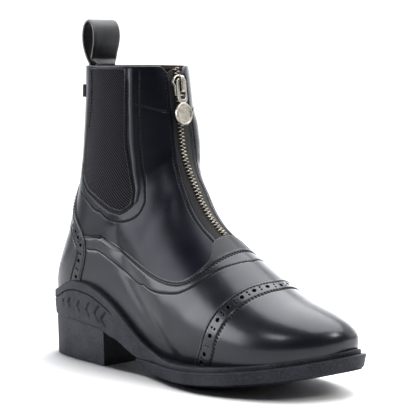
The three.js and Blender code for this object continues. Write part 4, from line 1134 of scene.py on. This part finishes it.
half = slider_length / 2
slider_body = struck("slider_body", "boot", slider_frame, (-6.6, -half - 0.4), (6.6, half + 0.4), 0.5,
                     slider_cut, slider_face, lambda a, b: 0 * a, 0.45, zip_silver,
                     lambda a, b: (slider_cut(a, b) - 1.0) / 0.35)
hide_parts("zip_slider")
bridge_foot = bridge_top - bridge_length
arch = smooth_path([(bridge_foot + 0.6, slider_thick - 0.5), (bridge_foot + 0.55, slider_thick + 1.4),
                    (bridge_foot + 1.0, slider_thick + 2.7), (bridge_foot + 2.6, slider_thick + 2.95),
                    (bridge_top - 2.6, slider_thick + 2.95), (bridge_top - 1.0, slider_thick + 2.7),
                    (bridge_top - 0.55, slider_thick + 1.4), (bridge_top - 0.6, slider_thick - 0.5)], 36)


def strap_body(name, body, middle_rows, normals, thick, edge, paint):
    """A closed strap from rows of points: each row runs across it, and its edges are rounded."""
    m, n = middle_rows.shape[:2]
    width = np.linalg.norm(middle_rows[:, -1] - middle_rows[:, 0], axis=-1)[:, None]
    share = np.linspace(0, 1, n)[None, :]
    inside = np.minimum(share, 1 - share) * width
    half_thick = (thick / 2 - rolled(inside, edge) * min(1.0, 0.45 * thick / edge))[..., None]
    front, back = middle_rows + normals * half_thick, middle_rows - normals * half_thick
    number = np.arange(m * n).reshape(m, n)
    quads = np.stack([number[:-1, :-1], number[:-1, 1:], number[1:, 1:], number[1:, :-1]], -1).reshape(-1, 4)
    faces = quads.tolist() + (quads[:, ::-1] + m * n).tolist()
    ring = np.concatenate([number[0, :-1], number[:-1, -1], number[-1, :0:-1], number[:0:-1, 0]])
    faces += [[b, a, a + m * n, b + m * n] for a, b in zip(ring, np.roll(ring, -1))]
    made = many(name, body, paint, [(np.vstack([front.reshape(-1, 3), back.reshape(-1, 3)]), faces)])
    bm = bmesh.new()
    bm.from_mesh(made.data)
    bmesh.ops.recalc_face_normals(bm, faces=bm.faces)
    bm.to_mesh(made.data)
    bm.free()
    return made


def crossing_normals(rows):
    n = np.cross(np.gradient(rows, axis=0), np.gradient(rows, axis=1))
    return n / np.linalg.norm(n, axis=-1, keepdims=True)


bridge_across = np.linspace(-0.5, 0.5, 9) * bridge_width
bridge_rows = np.array([[slider_origin + zip_up * b + zip_out * (c + 0.0) + zip_across * a for a in bridge_across]
                        for b, c in arch])
bridge = strap_body("slider_bridge", "boot", bridge_rows, crossing_normals(bridge_rows), bridge_bar, 0.45, zip_silver)

pull_low, pull_high = (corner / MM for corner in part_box("zip_pull"))
pull_length = (hinge_place[2] - pull_low[2]) / zip_up[2]
disc_radius, disc_rim, neck_width, frame_half, slot_half = 7.75, 1.3, 5.2, 4.2, 2.3
disc_up = disc_radius - pull_length
window = hinge_up - bridge_foot + pull_bar + 2 * pull_play + 2.7
frame_foot = -pull_bar - window - neck_width / 2


def pull_cut(a, b):
    ring = np.minimum(brick(a, b, (-frame_half, frame_foot + 0.4), (frame_half, pull_bar), 2.1),
                      -brick(a, b, (-slot_half, -pull_bar - window), (slot_half, -pull_bar), 1.4))
    shoulder = np.minimum(neck_width / 2 + 0.35 * np.clip((b - frame_foot) / 2, 0, 6) - np.abs(a),
                          np.minimum(frame_foot + 2.3 - b, b - disc_up))
    disc = disc_radius - np.hypot(a, b - disc_up)
    return np.maximum.reduce([ring, shoulder, disc])


def pull_face(a, b):
    """The disc's rim stands above its slightly hammered middle."""
    inside = disc_radius - np.hypot(a, b - disc_up)
    on_disc = np.clip(inside / 0.3, 0, 1)
    floor = np.clip((inside - disc_rim) / 0.35, 0, 1)
    second = np.exp(-((inside - disc_rim - 1.0) / 0.35) ** 2)
    hammer = 0.04 * np.sin(1.3 * a + 0.5 * b) * np.sin(1.1 * b - 0.6 * a + 0.5)
    return pull_bar + on_disc * (0.45 * (1 - floor) + 0.15 * second + floor * (hammer - 0.12))


pull = struck("pull_plate", "pull", (hinge_place, zip_across, zip_up, zip_out), (-8.2, -pull_length - 0.4), (8.2, 1.2),
              0.36, pull_cut, pull_face, lambda a, b: 0 * a - pull_bar, 0.42, zip_silver,
              lambda a, b: 0.7 * dent(disc_radius - np.hypot(a, b - disc_up) - disc_rim - 0.35, 0.55))
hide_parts("zip_pull")

# Pull loop and keeper
# A strap of smooth black leather folded into a loop: both ends are sewn to the back of the collar, one
# outside and one inside. Under it lies the small leather tab that is seen behind the shaft.
def strap_paint(place):
    cloud = place.noise(60, 3)
    grain = place.noise(1500, 4, 0.65)
    return {
        "Base Color": cloud.between(0.3, 0.7).tint((0.014, 0.015, 0.018), (0.027, 0.028, 0.032)),
        "Roughness": 0.40 + 0.12 * grain,
        "Normal": grain.bump(0.00006),
    }


strap_leather = finish_of("strap_leather", strap_paint, Specular_IOR_Level=0.55)
loop_width, loop_height, loop_depth, loop_thick, loop_tail = 25.0, 33.0, 14.0, 2.2, 10.0
LOOP = [
    # share of loop_depth from the middle, share of loop_height above the collar
    (-0.30, 0.20), (-0.46, 0.42), (-0.50, 0.64), (-0.40, 0.86), (-0.14, 0.98), (0.14, 0.98), (0.40, 0.86),
    (0.50, 0.68), (0.45, 0.48), (0.28, 0.29), (0.14, 0.14),
]
LOOP_WAIST = [(0.0, 0.93), (0.35, 0.96), (0.62, 1.0), (1.0, 1.0)]


def station_at(height, turn):
    """Station where the last reaches a height, at one turn."""
    fine = np.linspace(16, TOP + 1, 600)
    return np.interp(height, form(fine, turn)[:, 2], fine)


loop_across = np.linspace(-0.5, 0.5, 21) * loop_width
leg_heights = [collar_height - loop_tail, collar_height - loop_tail / 2, collar_height - 0.5, collar_height + 1.2]


def loop_leg(off):
    rows = []
    for height in leg_heights:
        s = station_at(height, 1.0)
        y = loop_across * LOOP_WAIST[0][1]
        rows.append(skin(np.full(y.shape, s), 1 - y / per_turn(s, 1.0), np.full(y.shape, off)))
    return rows


back_x = form(TOP, 1.0)[0]
loop_middle = back_x + wall / 2 - 0.6
collar_sag = form(np.full(21, TOP), 1 - loop_across / per_turn(TOP, 1.0))[:, 0] - back_x
bow = []
for a, h in LOOP:
    x = loop_middle + a * (loop_depth - loop_thick)
    z = collar_height + h * (loop_height - loop_thick / 2)
    bend = np.clip(1 - (z - collar_height) / (0.5 * loop_height), 0, 1) ** 2
    y = loop_across * along(LOOP_WAIST, h)
    bow.append(np.column_stack([x + collar_sag * bend, y, np.full(21, z)]))
loop_rough = np.array(loop_leg(0.6 + loop_thick / 2) + bow + loop_leg(-wall - 0.6 - loop_thick / 2)[::-1])
k = np.arange(len(loop_rough), dtype=float)
fine = np.linspace(0, len(loop_rough) - 1, 110)
loop_rows = np.stack([np.stack([along(np.column_stack([k, loop_rough[:, j, c]]), fine) for c in range(3)], -1)
                      for j in range(21)], 1)
pull_loop = strap_body("loop_strap", "boot", loop_rows, crossing_normals(loop_rows), loop_thick, 0.5, strap_leather)
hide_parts("pull_loop")

keeper_drop, keeper_height, keeper_thick = 18.0, 9.0, 1.9


def keeper_cut(s, t):
    z = form(s, t)[..., 2]
    sides = (0.23 - (1 - np.abs(turned(t)))) * per_turn(s, 0.9)
    return np.minimum(keeper_height / 2 - np.abs(z - collar_height + keeper_drop), sides)


keeper = leaf("keeper_tab", "boot", stations(20.0, 23.5, 0.9, 1.0), np.linspace(0.75, 1.25, 60), keeper_cut,
              0.3 + keeper_thick, 0.3, 0.5, (strap_leather,))
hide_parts("back_keeper")

# Insole
# The footbed of the same brown leather as the lining, over a thin board; it fills the boot's floor.
bpy.data.objects["insole"].data.materials.clear()
bpy.data.objects["insole"].data.materials.append(lining_leather)

# Sole
# One dark charcoal rubber unit. The plan is the outsole's outline seen from above; everything under
# the foot is lofted round it. The cup rises round the heel with a groove under its rim.
PLAN = np.array([
    # u, lateral, medial (shares of ball_width)
    [0.000, 0.000, 0.000], [0.006, 0.125, 0.125], [0.030, 0.210, 0.210], [0.070, 0.262, 0.262],
    [0.120, 0.290, 0.295], [0.200, 0.320, 0.302], [0.280, 0.337, 0.280], [0.360, 0.347, 0.262],
    [0.440, 0.370, 0.280], [0.520, 0.430, 0.340], [0.600, 0.492, 0.425], [0.670, 0.512, 0.475],
    [0.740, 0.495, 0.490], [0.810, 0.440, 0.472], [0.870, 0.365, 0.440], [0.920, 0.275, 0.390],
    [0.960, 0.155, 0.320], [0.988, 0.005, 0.235], [1.000, -0.115, 0.115],
])
RIM = [
    (0.000, 0.49), (0.030, 0.58), (0.072, 0.72), (0.107, 0.88), (0.148, 0.98), (0.182, 1.00), (0.228, 0.99),
    (0.267, 0.92), (0.316, 0.80), (0.365, 0.59), (0.408, 0.36), (0.450, 0.19), (0.496, 0.12), (0.540, 0.105),
    (1.000, 0.105),
]
LOWER = [
    (0.000, 1.00), (0.120, 1.00), (0.180, 0.97), (0.220, 0.91), (0.260, 0.855), (0.279, 0.80), (0.298, 0.68),
    (0.338, 0.53), (0.376, 0.26), (0.410, 0.03), (0.430, 0.00), (1.000, 0.00),
]
SLAB = [
    (0.408, 0.06, 0.00), (0.413, 0.30, 0.10), (0.424, 0.58, 0.35), (0.445, 0.82, 0.70), (0.480, 0.95, 0.95),
    (0.510, 1.00, 1.00), (1.000, 1.00, 1.00),
]
CUP = [
    (0.00, 1, 0), (0.20, 1, 0), (0.28, 0.5, 0), (0.36, 0, 0.2), (0.44, 0, 0.6), (0.52, 0, 1), (1.00, 0, 1),
]
cup_height, cup_wall, heel_flare, welt_inset = 25.7, 2.7, 1.6, 3.6
slab_thickness, tread_crown, slab_bevel, heel_block, heel_taper = 8.7, 2.4, 1.6, 29.2, 0.8
PLAN_END = len(PLAN) - 1


def plan_row(k):
    ends = np.vstack([[PLAN[1][0], -PLAN[1][2], -PLAN[1][1]], PLAN, [PLAN[-2][0], -PLAN[-2][2], -PLAN[-2][1]]])
    k = np.asarray(k, float)
    i = np.clip(k.astype(int), 0, PLAN_END - 1)
    t = (k - i)[..., None]
    a, b, c, d = (ends[i + n] for n in range(4))
    return 0.5 * (2 * b + (c - a) * t + (2 * a - 5 * b + 4 * c - d) * t ** 2 + (3 * b - a - 3 * c + d) * t ** 3)


def plan_place(u):
    fine = np.linspace(0, PLAN_END, 2000)
    return np.interp(u, np.maximum.accumulate(plan_row(fine)[:, 0]), fine)


def plan_edge(k, side, grow=0.0):
    """Points of the outline, and the outward direction there; grow moves them outward."""
    def at(v):
        folded = np.where(v < 0, -v, np.where(v > PLAN_END, 2 * PLAN_END - v, v))
        row = plan_row(folded)
        flip = np.where((v < 0) | (v > PLAN_END), -side, side)
        y = flip * ball_width * np.where(flip < 0, row[..., 1], row[..., 2])
        return np.stack([heel_rear + row[..., 0] * sole_length, y], -1)
    k = np.asarray(k, float)
    step = at(k + 0.02) - at(k - 0.02)
    step = step / np.linalg.norm(step, axis=-1, keepdims=True)
    out = np.stack([-side * step[..., 1], side * step[..., 0]], -1)
    return at(k) + out * np.asarray(grow, float)[..., None], out


def slab_top(u):
    return tread_crown + slab_thickness + toe_spring * np.maximum(0, (np.asarray(u) - 0.478) / 0.519) ** 2


def rim(u):
    return bed(u) + cup_height * along(RIM, u)


def lower(u):
    return slab_top(u) + (heel_block - tread_crown - slab_thickness) * along(LOWER, u)


def rubber_paint(place):
    stipple = place.noise(850, 3, 0.7)
    cloud = place.noise(60, 3)
    dust = place.noise(420, 4, 0.7)
    return {
        "Base Color": (cloud * 0.3 + dust * 0.25 + stipple * 0.45).between(0.36, 0.64).tint(
            (0.004, 0.0045, 0.008), (0.030, 0.032, 0.044)),
        "Roughness": 0.50 + 0.22 * dust,
        "Normal": stipple.bump(0.00040),
    }


sole_rubber = finish_of("sole_rubber", rubber_paint, Specular_IOR_Level=0.32)


def round_sole(name, ks, ring, paint, close_ends=True):
    """A closed body lofted along the sole: ring(k, side) gives that side's points from low to high."""
    rows = np.concatenate([ring(ks, -1)[:, ::-1], ring(ks, 1)], 1)
    m, n = rows.shape[:2]
    number = np.arange(m * n).reshape(m, n)
    following = np.roll(number, -1, axis=1)
    quads = np.stack([number[:-1], following[:-1], following[1:], number[1:]], -1).reshape(-1, 4).tolist()
    if close_ends:
        quads += [number[0, ::-1].tolist(), number[-1].tolist()]
    mesh = bpy.data.meshes.new(name)
    mesh.from_pydata((rows.reshape(-1, 3) * MM).tolist(), [], quads)
    bm = bmesh.new()
    bm.from_mesh(mesh)
    bmesh.ops.remove_doubles(bm, verts=bm.verts, dist=2e-6)
    bmesh.ops.recalc_face_normals(bm, faces=bm.faces)
    bm.to_mesh(mesh)
    bm.free()
    mesh.polygons.foreach_set("use_smooth", np.ones(len(mesh.polygons), bool))
    mesh.set_sharp_from_angle(angle=math.radians(42))
    mesh.materials.append(paint)
    made = bpy.data.objects.new(name, mesh)
    scene.collection.objects.link(made)
    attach(made, "boot")
    return made


def ring_points(ks, side, profile):
    """Stacks (grow, height, share of the half width) rows into points; each may vary along the sole."""
    centre = (plan_edge(ks, -1)[0][:, 1] + plan_edge(ks, 1)[0][:, 1]) / 2
    points = []
    for grow, z, share in profile:
        edge, _ = plan_edge(ks, side, np.broadcast_to(grow, ks.shape))
        y = centre + (edge[:, 1] - centre) * share
        points.append(np.column_stack([edge[:, 0], y, np.broadcast_to(z, ks.shape)]))
    return np.stack(points, 1)


def tread_middle(u):
    edge = slab_top(u) - slab_thickness * along(SLAB, u)
    flat = np.maximum(0, edge - tread_crown * along(SLAB, u, 2))
    rise = np.minimum(edge - 0.4 * tread_crown,
                      (toe_spring + 0.65 * tread_crown) * np.maximum(0, (u - 0.6) / 0.4) ** 1.5)
    return np.where(u < 0.5, flat, rise)


def slab_ring(ks, side):
    u = plan_row(ks)[:, 0]
    top = slab_top(u)
    edge = top - slab_thickness * along(SLAB, u)
    r = 0.6
    return ring_points(ks, side, [
        (-slab_bevel, tread_middle(u), 0.0), (-slab_bevel, tread_middle(u), 0.45), (-slab_bevel, tread_middle(u), 0.82),
        (-slab_bevel - 0.5, edge, 1), (-slab_bevel + 0.1, edge + 0.4, 1), (-0.25, top - 1.2, 1),
        (0.0, top - r, 1), (-0.2, top - 0.15, 1), (-r, top, 1), (-6, top, 1), (-6, top, 0.0)])


outsole = round_sole("outsole_slab", np.linspace(plan_place(0.408), PLAN_END, 220), slab_ring, sole_rubber)
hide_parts("outsole")


def heel_ring(ks, side):
    u = plan_row(ks)[:, 0]
    top = lower(u)
    return ring_points(ks, side, [
        (-3, 0.0, 0.0), (-3, 0.0, 1), (-heel_taper - 0.7, 0.0, 1), (-heel_taper - 0.15, 0.25, 1), (-heel_taper, 0.9, 1),
        (-heel_taper * 0.5, top * 0.5, 1), (-0.1, top - 1.2, 1), (-0.5, top - 0.2, 1), (-1.2, top, 1), (-4, top, 0)])


heel_end = plan_place(heel_length / sole_length)
heel = round_sole("heel_block", np.linspace(0, heel_end, 130), heel_ring, sole_rubber)
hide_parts("heel")

scene.view_layers[0].update()
upper_tree = BVHTree.FromPolygons(
    [v.co / MM for v in vamp.data.vertices] + [v.co / MM for v in quarters.data.vertices],
    [list(p.vertices) for p in vamp.data.polygons]
    + [[k + len(vamp.data.vertices) for k in p.vertices] for p in quarters.data.polygons])


def reach_in(ks, side, z, far=14.0):
    """How far inward from the outline the leather lies at height z, in mm."""
    edge, out = plan_edge(ks, side, np.full(ks.shape, 4.0))
    found = []
    for (x, y), (dx, dy), height in zip(edge, out, np.broadcast_to(z, ks.shape)):
        hit = upper_tree.ray_cast(Vector((x, y, height)), Vector((-dx, -dy, 0)), far + 4)
        found.append(hit[3] - 4.0 if hit[0] is not None else np.nan)
    found = np.array(found)
    good = ~np.isnan(found)
    return np.interp(ks, ks[good], found[good])


CHEVRONS = [
    # u, size as a share of the room between the groove and the heel block, height up that room
    (0.097, 0.22, 0.60), (0.133, 0.24, 0.58), (0.178, 0.29, 0.51), (0.219, 0.37, 0.50), (0.258, 0.52, 0.52),
    (0.285, 0.50, 0.48),
]


def chevron_dent(u, z):
    """Depth of the moulded marks, which point to the heel and grow towards the waist of the sole."""
    dent_depth = np.zeros(u.shape)
    for place, size, up in CHEVRONS:
        room = rim(place) - 6.4 - lower(place)
        high, long, stroke = room * size, 9.1 * size, 1.1 * (0.6 + 0.6 * size)
        a = (u - place) * sole_length + long / 2
        b = np.abs(z - lower(place) - up * room)
        run = np.clip((a * long + b * high / 2) / (long ** 2 + high ** 2 / 4), 0, 1)
        gap = np.hypot(a - run * long, b - run * high / 2)
        dent_depth = np.maximum(dent_depth, np.clip(1.5 - gap / stroke, 0, 1))
    return 0.95 * dent_depth


def cup_ring(ks, side):
    u = plan_row(ks)[:, 0]
    top, foot = rim(u), lower(u) + 0.15
    at_rim = -reach_in(ks, side, top) + 1.2
    grow = along(CUP, u, 1) * heel_flare - along(CUP, u, 2) * welt_inset
    hug = np.clip((u - 0.06) / 0.06, 0, 1) * np.clip((0.5 - u) / 0.05, 0, 1)
    grow = grow + hug * np.maximum(0, at_rim + cup_wall - grow)
    lean = -0.5 * heel_flare * along(CUP, u, 1)
    rows = [(grow + lean - 6, foot, 0.0), (grow + lean - 0.6, foot, 1), (grow + lean - 0.1, foot + 0.5, 1)]
    band = top - foot
    groove_fade = np.clip((0.33 - u) / 0.03, 0, 1)
    drop = 6.0
    lip = np.minimum(1.3, band * 0.3)
    low = np.minimum(band * 0.8, drop + 1.2)
    for share in np.linspace(0.08, 0.98, 30):
        height = foot + (band - low) * share
        rows.append((grow + lean * (1 - share) - chevron_dent(u, height), height, 1))
    for down, depth in ((1.25, 0.0), (1.1, 0.5), (0.6, 0.95), (0.1, 0.5), (0.0, 0.0)):
        rows.append((grow - depth * groove_fade, top - low + 1.2 - down * np.minimum(1, low / 7.2), 1))
    for height, back in ((0.5, 0.0), (0.35, -0.02)):
        rows.append((grow + back, top - low * height, 1))
    for angle in np.linspace(0, math.pi / 2, 5):
        rows.append((grow - lip * (1 - math.cos(angle)), top - lip * (1 - math.sin(angle)), 1))
    rows += [(np.minimum(grow - lip - 0.1, at_rim - 1.6), top + 0.05, 1),
             (np.minimum(grow - lip - 0.2, at_rim - 2.0), top - 2.0, 1), (grow - 9, np.maximum(foot + 0.6, bed(u) - 1), 1),
             (grow - 9, np.maximum(foot + 0.6, bed(u) - 1), 0.0)]
    return ring_points(ks, side, rows)


cup_ks = np.unique(np.concatenate([np.linspace(0, PLAN_END, 330), np.linspace(plan_place(0.07), plan_place(0.31), 150)]))
cup = round_sole("sole_cup_wall", cup_ks, cup_ring, sole_rubber)
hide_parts("sole_cup")
